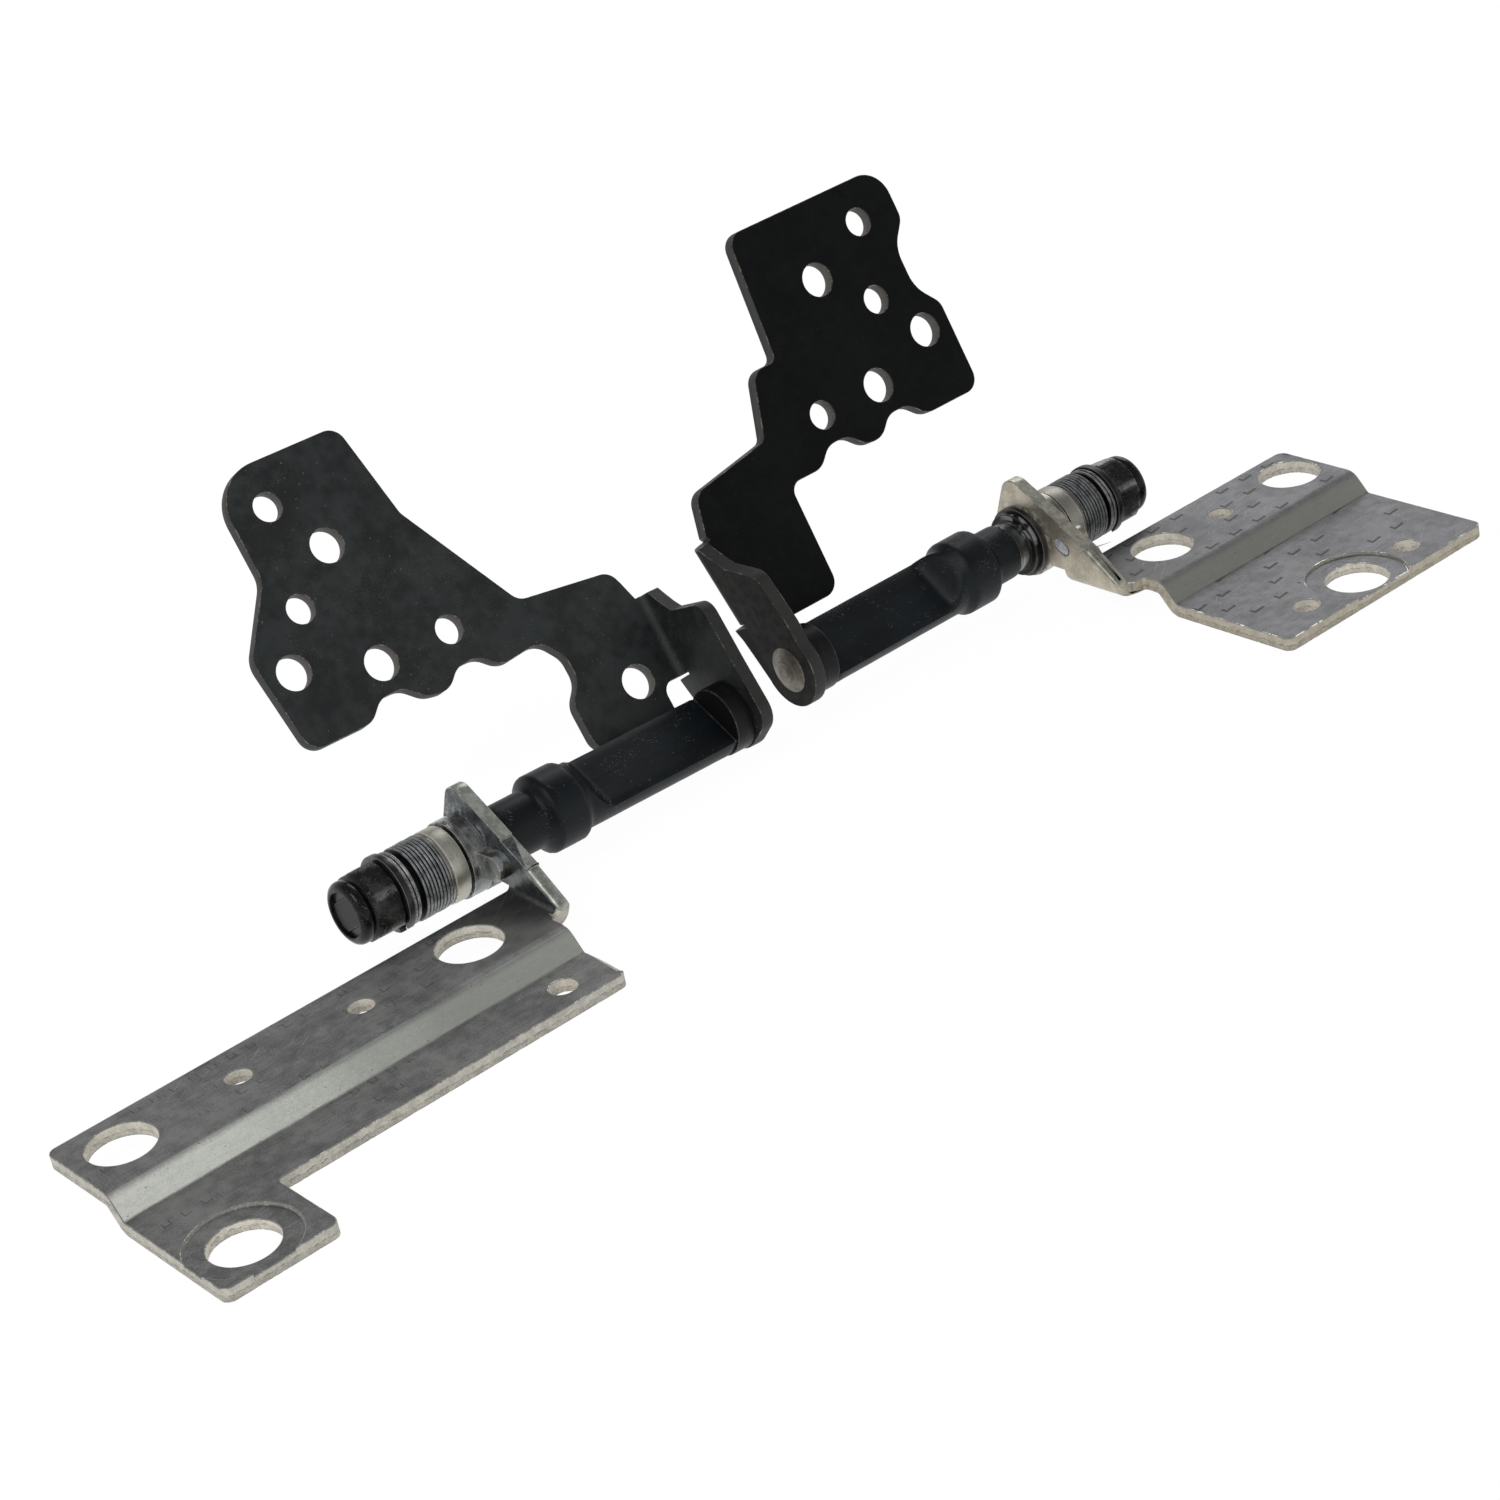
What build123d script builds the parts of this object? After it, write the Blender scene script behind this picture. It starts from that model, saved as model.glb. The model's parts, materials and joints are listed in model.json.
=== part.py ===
from build123d import *
import os
from math import atan2, cos, degrees, radians, sin, sqrt, tan

# Laptop hinge pair, in millimetres. Each hinge is drawn with its shaft on the X axis, x running
# outwards from the outer face of its riveted tab, y towards the back and z up. The left hinge is
# drawn the same way and mirrored. The finished pair is moved to stand on the plane z = 0.

# Layout of the pair
TAB_GAP = 5.4               # between the outer faces of the two riveted tabs
LEFT_OPENING = 122.5        # degrees from the closed lid to the pose that is drawn
RIGHT_OPENING = 115.0
LEFT_EAR_LEAN = 1.7         # the left ear is folded this far past square, and its shaft leans with it
RIGHT_EAR_LEAN = 0.0
LEFT_EAR_DROP = 0.25        # the left ear's bore lies this much nearer its strip
RIGHT_EAR_DROP = 0.0
LEFT_TAB_LEAN = 1.0         # outward lean of the riveted tab above its kink
RIGHT_TAB_LEAN = 7.0

# Sheet, bends and running clearances
BASE_SHEET = 1.2
BASE_BEND = 0.4             # inside radius of the base bracket's bends
LID_SHEET = 1.2
LID_BEND = 0.8              # inside radius of the display bracket's fold
BORE_PLAY = 0.05            # radial play where a piece turns on the shaft
END_PLAY = 0.04             # play along the shaft between turning and standing faces
SEAT_PLAY = 0.02            # play round the pieces that are keyed or riveted to the shaft

# Shaft, from the riveted tab outwards
RIVET_HEAD = 4.2            # peened head outside the tab
RIVET_HEAD_HEIGHT = 0.55
SPIGOT = 3.4                # riveted spigot through the tab
SPIGOT_FLATS = 2.7
FLANGE = 6.0
FLANGE_LENGTH = 1.9
HALF_ROUND = 5.4            # diameter of the half-round length
HALF_ROUND_LENGTH = 15.4
HALF_ROUND_RISE = 0.35      # the flat's distance from the axis
HALF_ROUND_TURN = 59.5      # the flat's turn from the lid's own upward direction, in degrees
COLLAR = 6.4
COLLAR_LENGTH = 4.0
COLLAR_SLOPE = 0.8          # length of the sloped shoulder at each end of the collar
NECK = 4.6
NECK_LENGTH = 4.0
SHOULDER = 5.8
SHOULDER_LENGTH = 0.6
JOURNAL = 4.0               # turns in the ear
STEM = 3.5                  # threaded and flattened outer end
STEM_FLATS = 2.5
STEM_PROUD = 0.25           # the stem stops this far inside the nut's end

# Shrink sleeve over the shaft
SLEEVE_WALL = 0.2
SLEEVE_FLANGE_GAP = 0.25    # bare flange face beside the sleeve
LEFT_BARE_NECK = 0.15       # bare neck between the sleeve's mouth and the shoulder
RIGHT_BARE_NECK = 1.3

# Stack on the shaft, from the ear's inner face outwards
INNER_WASHER = 6.4
INNER_WASHER_THICKNESS = 0.5
FIXED_CAM = 6.7
FIXED_CAM_LENGTH = 1.95
MOVING_CAM = 6.4
MOVING_CAM_LENGTH = 1.5
CAM_TRACK = 5.3             # outside of the track that the lobes stand in
CAM_LOBE_RISE = 0.4
CAM_LOBE_ANGLE = 110.0      # each of the two lobes, in degrees
CAM_LOBE_LAG = 36.0         # moving lobes behind the fixed ones
CAM_STEP_TURN = 35.0        # lobes' turn about the shaft in the drawn pose
CAM_SKIRT_BACK = 0.1        # the skirt round the track stays this far below the lobes' tops
CAM_NOTCH_WIDTH = 1.2       # key notch in the moving cam's outer rim
CAM_NOTCH_DEPTH = 0.6
CAM_NOTCH_LENGTH = 0.55
CAM_NOTCH_TURN = -78.0
CAM_WASHER = 6.2
CAM_WASHER_THICKNESS = 0.3
SPRING_COUNT = 8
SPRING = 6.4
SPRING_THICKNESS = 0.24
SPRING_CONE = 0.084         # free height of the cone
SPRING_BORE_PLAY = 0.1
SPACER = 5.3
SPACER_THICKNESS = 0.45
THRUST_WASHER = 6.3
THRUST_WASHER_THICKNESS = 0.38
THRUST_WASHER_COUNT = 2
TAB_WASHER = 6.6
TAB_WASHER_THICKNESS = 0.6
TAB_NOTCH_WIDTH = 1.3
TAB_NOTCH_DEPTH = 0.8
NUT_FLATS = 5.6
NUT_HEIGHT = 2.7
NUT_COLLAR = 5.4            # round locking collar at the nut's end
NUT_COLLAR_HEIGHT = 1.2
NUT_COLLAR_ROUND = 0.75
NUT_COLLAR_FOOT = 0.35      # rounding where the collar leaves the hexagon
NUT_CHAMFER = 0.5
NUT_RECESS = 4.2            # shallow recess round the stem's end
NUT_RECESS_DEPTH = 0.4

# Ear of the base bracket and the fixed cam's lug in it, measured from the shaft's axis
EAR_HEAD_RADIUS = 3.4
EAR_PEAK_BACK = 1.1         # corner that stands up behind the shaft
EAR_PEAK_HEIGHT = 6.2
EAR_PEAK_ROUND = 1.4
EAR_KNEE_FRONT = 8.2        # bend in the ear's front edge
EAR_KNEE_HEIGHT = 1.1
EAR_ROOT_FRONT = 11.6       # front end of the ear's root
EAR_STEP_FRONT = 5.2        # small step in the ear's front edge, beside the lug
EAR_EDGE_STEP = 0.18
LUG_REACH = 5.0             # lug's centre from the axis
LUG_LENGTH = 1.8
LUG_WIDTH = 1.1
LUG_TURN = 174.0            # direction of the lug seen along the shaft, in degrees
LUG_TILT = 32.0             # tilt of its long side
LUG_PLAY = 0.06
CAM_ARM_WIDTH = 2.2
CAM_ARM_THICKNESS = 1.2

# Base bracket, both sides: heights and depths from the shaft's axis or from its row of screw holes
AXIS_RISE = 2.1             # axis above the top of the upper strip
SCREW_ROW = 8.9             # row of screw holes in front of the axis
BACK_MARGIN = 3.95          # back edge behind the screw row
JOGGLE_START = 4.8          # top of the joggle in front of the screw row
JOGGLE_RUN = 1.55
JOGGLE_DROP = 1.8
BASE_CORNER = 0.8
RELIEF_ROUND = 0.6
EAR_RELIEF_ROUND = 0.3      # hollow where the strips leave the ear's root
SCREW_HOLE = 5.5
FIRST_SCREW = 6.9           # first screw hole from the ear's outer face
LOCATING_HOLE = 2.1
FRONT_HOLE = 2.3
SEAT = 8.8                  # coined seat round the front screw hole
SEAT_DEPTH = 0.25

# Left base bracket, along the shaft from its first screw hole
LEFT_BASE_START = 0.85      # inner end of the strips from the ear's outer face
LEFT_BASE_END = 36.05
LEFT_LAST_SCREW = 31.85
LEFT_LOCATING = 10.3        # each small hole from the screw hole beside it
LEFT_FRONT = 11.4           # front edge in front of the screw row
LEFT_TONGUE_WIDTH = 9.9
LEFT_TONGUE_FRONT = 19.6
LEFT_FRONT_SCREW = 31.8
LEFT_FRONT_ROW = 15.55      # front screw hole in front of the screw row
LEFT_FRONT_HOLE = -2.0
LEFT_FRONT_HOLE_ROW = 8.8
LEFT_FLARE = 0.2            # the inner end's front corner flares out

# Right base bracket, along the shaft from its first screw hole
RIGHT_BASE_START = 1.8
RIGHT_BASE_END = 19.75
RIGHT_LAST_SCREW = 16.5
RIGHT_LOCATING = 7.5
RIGHT_FRONT = 19.3
RIGHT_FRONT_SCREW = 6.8
RIGHT_FRONT_ROW = 16.25
RIGHT_FRONT_HOLE_PITCH = 6.4   # small holes each side of the front screw hole

# Display bracket, both sides: x from the tab's outer face, heights up the lid from the axis
PLATE_BEHIND = 3.9          # plate's front face behind the axis
TAB_BACK = 4.9              # upper and lower end of the tab's back edge below the fold
TAB_BACK_LOW = 4.0
TAB_TAPER = 0.6             # the top of the tab's front edge is set back
TAB_KINK = 3.6              # height above which a tab may lean
TAB_NOTCH_FRONT = 1.0       # small notch in the tab's sloping top edge
TAB_NOTCH_BACK = 1.8
TAB_NOTCH_LOW = 10.1
TAB_NOTCH_HIGH = 10.9
FOLD_BOTTOM = 5.0
FOLD_SLIT = 0.25            # slit between the fold and the tab's lower part
FOLD_TOP = 12.5
LID_SCREW_HOLE = 3.0
LID_PIN_HOLE = 2.5
SCALLOP_RISE = 1.5          # rounded bays in the plate's lower edge
SCALLOP_HALF = 1.1          # half the bay's flat top
SCALLOP_SLOPE = 1.6
SCALLOP_ROUND = 2.0
INSIDE_CORNER = 1.1         # where the arm runs into the plate
PLATE_CORNER = 1.5

# Left display bracket
LEFT_TAB_END = 3.15         # radius of the tab's end round the rivet
LEFT_TAB_FRONT = 4.15       # tab's front edge in front of the axis
LEFT_TAB_SHOULDER = 9.2     # top of the front edge
LEFT_PLATE_TOP = 36.0
LEFT_PLATE_FOOT = 12.8
LEFT_PLATE_END = 35.8
LEFT_PLATE_LOW_END = 34.9   # outer end of the lower edge
LEFT_UPPER_END = 31.6       # outer edge of the upper half
LEFT_UPPER_ROUND = 4.0
LEFT_SLOPE_LOW = 21.3       # slope between the lower and the upper outer edge
LEFT_SLOPE_HIGH = 26.9
LEFT_SLOPE_ROUND = 2.4
LEFT_CREST = 19.2           # inner corner of the top edge
LEFT_KNEE_X = 17.7
LEFT_KNEE_HEIGHT = 27.3
LEFT_ARM_X = 11.8           # where the slanted inner edge meets the arm
LEFT_ARM_TOP = 16.65
LEFT_ARM_END = 11.9
LEFT_ARM_SHOULDER = 15.5    # top of the arm beside the fold
LEFT_ARM_FOOT = 2.2
LEFT_ARM_RELIEF = 1.5       # rounded relief between the fold and the arm's foot
LEFT_WAIST_X = 10.4         # bay between the arm and the plate
LEFT_WAIST_HEIGHT = 9.6
LEFT_BAY_INNER = 18.7
LEFT_BAY_OUTER = 26.2
LEFT_PIN_TOP_X = 28.1       # holes: x, then height, or the drop from the plate's top
LEFT_PIN_TOP_DROP = 3.85
LEFT_SCREW_TOP_X = 25.0
LEFT_SCREW_TOP_DROP = 8.65
LEFT_PIN_MIDDLE_X = 29.8
LEFT_PIN_MIDDLE_HEIGHT = 23.55
LEFT_SCREW_END_X = 33.0
LEFT_SCREW_END_HEIGHT = 19.15
LEFT_SCREW_LOW_X = 25.7
LEFT_SCREW_LOW_HEIGHT = 16.85
LEFT_PIN_LOW_X = 18.8
LEFT_PIN_LOW_HEIGHT = 16.95
LEFT_SCREW_ARM_X = 5.4
LEFT_SCREW_ARM_HEIGHT = 6.15

# Right display bracket
RIGHT_TAB_END = 3.4
RIGHT_TAB_FRONT = 3.1
RIGHT_TAB_SHOULDER = 8.6
RIGHT_PLATE_TOP = 35.0
RIGHT_PLATE_FOOT = 13.5
RIGHT_PLATE_END = 33.45
RIGHT_PLATE_ROUND = 2.6     # upper outer corner
RIGHT_ROUND_SHARE = 0.55    # most of the edge above the hollow that this round may take
RIGHT_SCOOP_DEPTH = 1.9     # hollow in the outer edge
RIGHT_SCOOP_LOW = 21.8
RIGHT_SCOOP_HIGH = 30.0
RIGHT_SCOOP_SLOPE = 2.2
RIGHT_SCOOP_ROUND = 3.2
RIGHT_CREST = 15.8
RIGHT_STEP_X = 14.8
RIGHT_STEP_HEIGHT = 23.6
RIGHT_STEP_OUT = 12.2
RIGHT_SHOULDER_X = 10.2
RIGHT_SHOULDER_HEIGHT = 17.9
RIGHT_ARM_TOP = 16.5
RIGHT_ARM_X = 1.6           # arm's inner edge at its top and just above the fold
RIGHT_ARM_LOW_X = 0.7
RIGHT_ARM_END = 10.7
RIGHT_ARM_FOOT = 3.5
RIGHT_BAY_INNER = 17.1
RIGHT_BAY_OUTER = 24.3
RIGHT_PIN_TOP_X = 29.0
RIGHT_PIN_TOP_DROP = 3.7
RIGHT_SCREW_TOP_X = 22.4
RIGHT_SCREW_TOP_DROP = 6.7
RIGHT_PIN_MIDDLE_X = 27.2
RIGHT_PIN_MIDDLE_HEIGHT = 24.5
RIGHT_SCREW_END_X = 30.6
RIGHT_SCREW_END_HEIGHT = 20.2
RIGHT_SCREW_LOW_X = 23.5
RIGHT_SCREW_LOW_HEIGHT = 17.7
RIGHT_PIN_LOW_X = 16.8
RIGHT_PIN_LOW_HEIGHT = 17.6

# Stations along the shaft that follow from the sizes above
FLANGE_END = LID_SHEET + FLANGE_LENGTH
HALF_ROUND_END = FLANGE_END + HALF_ROUND_LENGTH
COLLAR_END = HALF_ROUND_END + COLLAR_LENGTH
NECK_END = COLLAR_END + NECK_LENGTH
SHOULDER_END = NECK_END + SHOULDER_LENGTH
INNER_WASHER_END = SHOULDER_END + INNER_WASHER_THICKNESS
EAR_INNER = INNER_WASHER_END + END_PLAY
EAR_OUTER = EAR_INNER + BASE_SHEET
FIXED_CAM_END = EAR_OUTER + FIXED_CAM_LENGTH
MOVING_CAM_START = FIXED_CAM_END + END_PLAY
MOVING_CAM_END = MOVING_CAM_START + MOVING_CAM_LENGTH
CAM_WASHER_END = MOVING_CAM_END + CAM_WASHER_THICKNESS
SPRING_PITCH = SPRING_THICKNESS + SPRING_CONE
SPRINGS_END = CAM_WASHER_END + SPRING_COUNT * SPRING_PITCH
SPACER_END = SPRINGS_END + SPACER_THICKNESS
THRUST_WASHERS_END = SPACER_END + THRUST_WASHER_COUNT * THRUST_WASHER_THICKNESS
TAB_WASHER_END = THRUST_WASHERS_END + TAB_WASHER_THICKNESS
NUT_HEX_END = TAB_WASHER_END + NUT_HEIGHT
NUT_END = NUT_HEX_END + NUT_COLLAR_HEIGHT
STEM_END = NUT_END - STEM_PROUD

# Levels of the base bracket, below the axis
UPPER_TOP = -AXIS_RISE
LOWER_TOP = UPPER_TOP - JOGGLE_DROP
FIRST_SCREW_X = EAR_OUTER + FIRST_SCREW
ROW_Y = -SCREW_ROW
BACK_Y = ROW_Y + BACK_MARGIN
BEND_OUTER = BASE_BEND + BASE_SHEET
STRIP_START = EAR_OUTER + BASE_BEND
EAR_ROOT = UPPER_TOP + BASE_BEND


def rounded_face(corners):
    """Closed flat face from (x, y, corner radius) corners."""
    points = [(x, y) for x, y, radius in corners]
    radii = [radius for x, y, radius in corners]
    return make_face(FilletPolyline(*points, radius=radii, close=True))


def along_shaft(face, start, end):
    """Extrude a face drawn in (y, z) along the shaft from start to end."""
    return extrude(Plane.YZ.offset(start) * face, amount=end - start)


def turned(points):
    """Solid of revolution about the shaft from (x, radius) points."""
    section = make_face(Polyline(*points, close=True))
    return revolve(section, axis=Axis.X)


def ring(outer, start, end):
    """Plain round disc on the shaft."""
    return along_shaft(Circle(outer / 2), start, end)


def double_flat(diameter, flats):
    """Round section with two flats across, as on the shaft's outer end."""
    return Circle(diameter / 2) & Rectangle(2 * diameter, flats)


def keyed_disc(outer, start, end):
    """Disc keyed to the shaft's flattened stem."""
    bore = double_flat(STEM + 2 * SEAT_PLAY, STEM_FLATS + 2 * SEAT_PLAY)
    return along_shaft(Circle(outer / 2) - bore, start, end)


def upright_hole(diameter, x, y, top):
    """Cutter for a hole straight down through the base bracket's sheet."""
    return Pos(x, y, top - BASE_SHEET / 2) * Cylinder(diameter / 2, 2 * BASE_SHEET)


def base_section(front_y):
    """Sheet section of the base bracket in (y, z): upper strip, joggle, lower strip."""
    slope = atan2(JOGGLE_DROP, JOGGLE_RUN)
    lag = BASE_SHEET * tan(slope / 2)
    crest = ROW_Y - JOGGLE_START
    trough = crest - JOGGLE_RUN
    return rounded_face([
        (BACK_Y, UPPER_TOP, 0),
        (crest, UPPER_TOP, BEND_OUTER),
        (trough, LOWER_TOP, BASE_BEND),
        (front_y, LOWER_TOP, 0),
        (front_y, LOWER_TOP - BASE_SHEET, 0),
        (trough + lag, LOWER_TOP - BASE_SHEET, BEND_OUTER),
        (crest + lag, UPPER_TOP - BASE_SHEET, BASE_BEND),
        (BACK_Y, UPPER_TOP - BASE_SHEET, 0),
    ])


def on_ear(lean, drop):
    """Move of the pieces that sit on an ear: down by the drop, then turned about the ear's bend."""
    bend_axis = Pos(STRIP_START, 0, EAR_ROOT)
    return bend_axis * Rot(Y=-lean) * bend_axis.inverse() * Pos(0, 0, -drop)


def ear(lean, drop):
    """Upright ear round the shaft with its bend into the upper strip."""
    # the back edge runs from the peak down to touch the head's circle
    peak_reach = sqrt(EAR_PEAK_BACK**2 + EAR_PEAK_HEIGHT**2)
    peak_angle = degrees(atan2(EAR_PEAK_HEIGHT, EAR_PEAK_BACK))
    touch_angle = radians(peak_angle) - atan2(sqrt(peak_reach**2 - EAR_HEAD_RADIUS**2), EAR_HEAD_RADIUS)
    touch = (EAR_HEAD_RADIUS * cos(touch_angle), EAR_HEAD_RADIUS * sin(touch_angle))
    # the front edge slopes from the knee up to the peak and steps in below the lug
    slope = atan2(EAR_PEAK_HEIGHT - EAR_KNEE_HEIGHT, EAR_PEAK_BACK + EAR_KNEE_FRONT)
    step_height = EAR_KNEE_HEIGHT + (EAR_KNEE_FRONT - EAR_STEP_FRONT) * tan(slope)
    in_y = EAR_EDGE_STEP * sin(slope)
    in_z = -EAR_EDGE_STEP * cos(slope)
    root = EAR_ROOT + drop
    arm = rounded_face([
        (-EAR_ROOT_FRONT, root, 0),
        (-EAR_KNEE_FRONT + in_y, EAR_KNEE_HEIGHT + in_z, BASE_CORNER),
        (-EAR_STEP_FRONT + in_y, step_height + in_z, 0),
        (-EAR_STEP_FRONT, step_height, 0),
        (EAR_PEAK_BACK, EAR_PEAK_HEIGHT, EAR_PEAK_ROUND),
        (touch[0], touch[1], 0),
        (0, 0, 0),
        (-EAR_HEAD_RADIUS, root, 0),
        (BACK_Y, root, 0),
    ])
    outline = arm + Circle(EAR_HEAD_RADIUS) - Circle(JOURNAL / 2 + BORE_PLAY) - lug_section(LUG_PLAY)
    plate = along_shaft(outline, EAR_INNER, EAR_OUTER)
    reach = 2 * BEND_OUTER
    rim = (-reach * cos(radians(lean)), -reach * sin(radians(lean)))
    wedge = make_face(Polyline((0, 0), rim, (-reach, -reach), (0, -reach), close=True))
    section = (Circle(BEND_OUTER) - Circle(BASE_BEND)) & wedge
    bend_plane = Plane.XZ.offset(-BACK_Y) * Pos(STRIP_START, EAR_ROOT)
    bend = extrude(bend_plane * section, amount=BACK_Y + EAR_ROOT_FRONT)
    return on_ear(lean, drop) * plate + bend


def lug_section(play):
    """Obround of the fixed cam's lug in (y, z), grown by play for the ear's slot."""
    turn = radians(LUG_TURN)
    slot = SlotOverall(LUG_LENGTH + 2 * play, LUG_WIDTH + 2 * play, rotation=LUG_TILT)
    return Pos(LUG_REACH * cos(turn), LUG_REACH * sin(turn)) * slot


def base_bracket(plan, end_x, front_y, screws, small_holes, front_screw, front_row, upright):
    """Folded base bracket cut to its plan, with its ear, holes and coined seat."""
    strips = along_shaft(base_section(front_y), EAR_OUTER, end_x)
    depth = AXIS_RISE + JOGGLE_DROP + BASE_SHEET
    strips &= extrude(Plane.XY.offset(-2 * depth) * plan, amount=2 * depth)
    bracket = strips + upright
    for x in screws:
        bracket -= upright_hole(SCREW_HOLE, x, ROW_Y, UPPER_TOP)
    for diameter, x, y, top in small_holes:
        bracket -= upright_hole(diameter, x, y, top)
    bracket -= Pos(front_screw, front_row, LOWER_TOP) * Cylinder(SEAT / 2, 2 * SEAT_DEPTH)
    return bracket - upright_hole(SCREW_HOLE, front_screw, front_row, LOWER_TOP)


def plan_corners_at_ear(inner):
    """Plan corners at the inner end: the ear's root and the relief beside it."""
    return [
        (inner, -EAR_ROOT_FRONT, EAR_RELIEF_ROUND),
        (STRIP_START, -EAR_ROOT_FRONT, 0),
        (STRIP_START, BACK_Y, 0),
    ]


def left_base_bracket():
    """Long base bracket with a tongue at its outer end."""
    inner = EAR_OUTER + LEFT_BASE_START
    end_x = FIRST_SCREW_X + LEFT_BASE_END
    front_y = ROW_Y - LEFT_FRONT
    tongue_y = ROW_Y - LEFT_TONGUE_FRONT
    tongue_x = end_x - LEFT_TONGUE_WIDTH
    plan = rounded_face(plan_corners_at_ear(inner) + [
        (end_x, BACK_Y, BASE_CORNER),
        (end_x, tongue_y, BASE_CORNER),
        (tongue_x, tongue_y, BASE_CORNER),
        (tongue_x, front_y, RELIEF_ROUND),
        (inner - LEFT_FLARE, front_y, BASE_CORNER),
        (inner - LEFT_FLARE, front_y + 2 * BASE_CORNER, BASE_CORNER),
        (inner, ROW_Y - JOGGLE_START - JOGGLE_RUN, BASE_CORNER),
    ])
    last_screw = FIRST_SCREW_X + LEFT_LAST_SCREW
    small_holes = [
        (LOCATING_HOLE, FIRST_SCREW_X + LEFT_LOCATING, ROW_Y, UPPER_TOP),
        (LOCATING_HOLE, last_screw - LEFT_LOCATING, ROW_Y, UPPER_TOP),
        (FRONT_HOLE, FIRST_SCREW_X + LEFT_FRONT_HOLE, ROW_Y - LEFT_FRONT_HOLE_ROW, LOWER_TOP),
    ]
    front_screw = FIRST_SCREW_X + LEFT_FRONT_SCREW
    front_row = ROW_Y - LEFT_FRONT_ROW
    screws = [FIRST_SCREW_X, last_screw]
    upright = ear(LEFT_EAR_LEAN, LEFT_EAR_DROP)
    return base_bracket(plan, end_x, tongue_y, screws, small_holes, front_screw, front_row, upright)


def right_base_bracket():
    """Short base bracket with a deep lower strip."""
    inner = EAR_OUTER + RIGHT_BASE_START
    end_x = FIRST_SCREW_X + RIGHT_BASE_END
    front_y = ROW_Y - RIGHT_FRONT
    plan = rounded_face(plan_corners_at_ear(inner) + [
        (end_x, BACK_Y, BASE_CORNER),
        (end_x, front_y, BASE_CORNER),
        (inner, front_y, BASE_CORNER),
    ])
    front_screw = FIRST_SCREW_X + RIGHT_FRONT_SCREW
    front_row = ROW_Y - RIGHT_FRONT_ROW
    small_holes = [(LOCATING_HOLE, FIRST_SCREW_X + RIGHT_LOCATING, ROW_Y, UPPER_TOP)]
    for side in (-1, 1):
        x = front_screw + side * RIGHT_FRONT_HOLE_PITCH
        small_holes.append((FRONT_HOLE, x, front_row, LOWER_TOP))
    screws = [FIRST_SCREW_X, FIRST_SCREW_X + RIGHT_LAST_SCREW]
    upright = ear(RIGHT_EAR_LEAN, RIGHT_EAR_DROP)
    return base_bracket(plan, end_x, front_y, screws, small_holes, front_screw, front_row, upright)


def tab_place(lean):
    """Move that leans a tab outwards above its kink."""
    kink = Pos(LID_SHEET, 0, TAB_KINK)
    return kink * Rot(Y=-lean) * kink.inverse()


def fold_corner(height, lean):
    """Plate corner where the fold ends at this height of the tab."""
    place = tab_place(lean) * Pos(LID_SHEET + LID_BEND, 0, height)
    return (place.position.X, place.position.Z, 0)


def lid_tab(end, front, shoulder, lean):
    """Riveted tab of the display bracket and its fold, for a lid standing straight up."""
    fold_y = PLATE_BEHIND - LID_BEND
    low = max(0, 2 * (front - end))
    tab = rounded_face([
        (fold_y, FOLD_BOTTOM, 0),
        (fold_y, FOLD_TOP, 0),
        (TAB_NOTCH_BACK, TAB_NOTCH_HIGH, LID_BEND / 2),
        (TAB_NOTCH_FRONT, TAB_NOTCH_LOW, LID_BEND / 2),
        (TAB_TAPER - front, shoulder, PLATE_CORNER),
        (-front, -low, low),
        (-end * cos(radians(70)), -end * sin(radians(70)), 0),
        (0, 0, 0),
        (end * cos(radians(25)), -end * sin(radians(25)), 0),
        (TAB_BACK_LOW, end / 2, LID_BEND),
        (TAB_BACK, FOLD_BOTTOM - FOLD_SLIT, 0),
        (fold_y, FOLD_BOTTOM - FOLD_SLIT, 0),
    ])
    spigot_hole = double_flat(SPIGOT + 2 * SEAT_PLAY, SPIGOT_FLATS + 2 * SEAT_PLAY)
    tab = tab + Circle(end) - spigot_hole
    plate = along_shaft(tab, 0, LID_SHEET)
    outer = LID_BEND + LID_SHEET
    quarter = Circle(outer) - Circle(LID_BEND)
    quarter &= Pos(-outer / 2, outer / 2) * Rectangle(outer, outer)
    fold = extrude(Plane.XY.offset(FOLD_BOTTOM) * Pos(outer, fold_y) * quarter, amount=FOLD_TOP - FOLD_BOTTOM)
    if lean == 0:
        return plate + fold
    below = Pos(0, 0, TAB_KINK) * Box(FOLD_TOP, FOLD_TOP, FOLD_TOP, align=(Align.CENTER, Align.CENTER, Align.MAX))
    return (plate & below) + tab_place(lean) * ((plate - below) + fold)


def bay(centre, foot):
    """Corners of one rounded bay in the plate's lower edge, from the shaft end outwards."""
    half = SCALLOP_HALF + SCALLOP_SLOPE
    return [
        (centre - half, foot, SCALLOP_ROUND),
        (centre - SCALLOP_HALF, foot + SCALLOP_RISE, SCALLOP_ROUND),
        (centre + SCALLOP_HALF, foot + SCALLOP_RISE, SCALLOP_ROUND),
        (centre + half, foot, SCALLOP_ROUND),
    ]


def display_bracket(outline, screw_holes, pin_holes, tab):
    """Display bracket for a lid standing straight up: drilled plate, fold and riveted tab."""
    face = rounded_face(outline)
    for x, height in screw_holes:
        face -= Pos(x, height) * Circle(LID_SCREW_HOLE / 2)
    for x, height in pin_holes:
        face -= Pos(x, height) * Circle(LID_PIN_HOLE / 2)
    back_y = PLATE_BEHIND + LID_SHEET
    plate = extrude(Plane.XZ.offset(-back_y) * face, amount=LID_SHEET)
    return plate + tab


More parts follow.
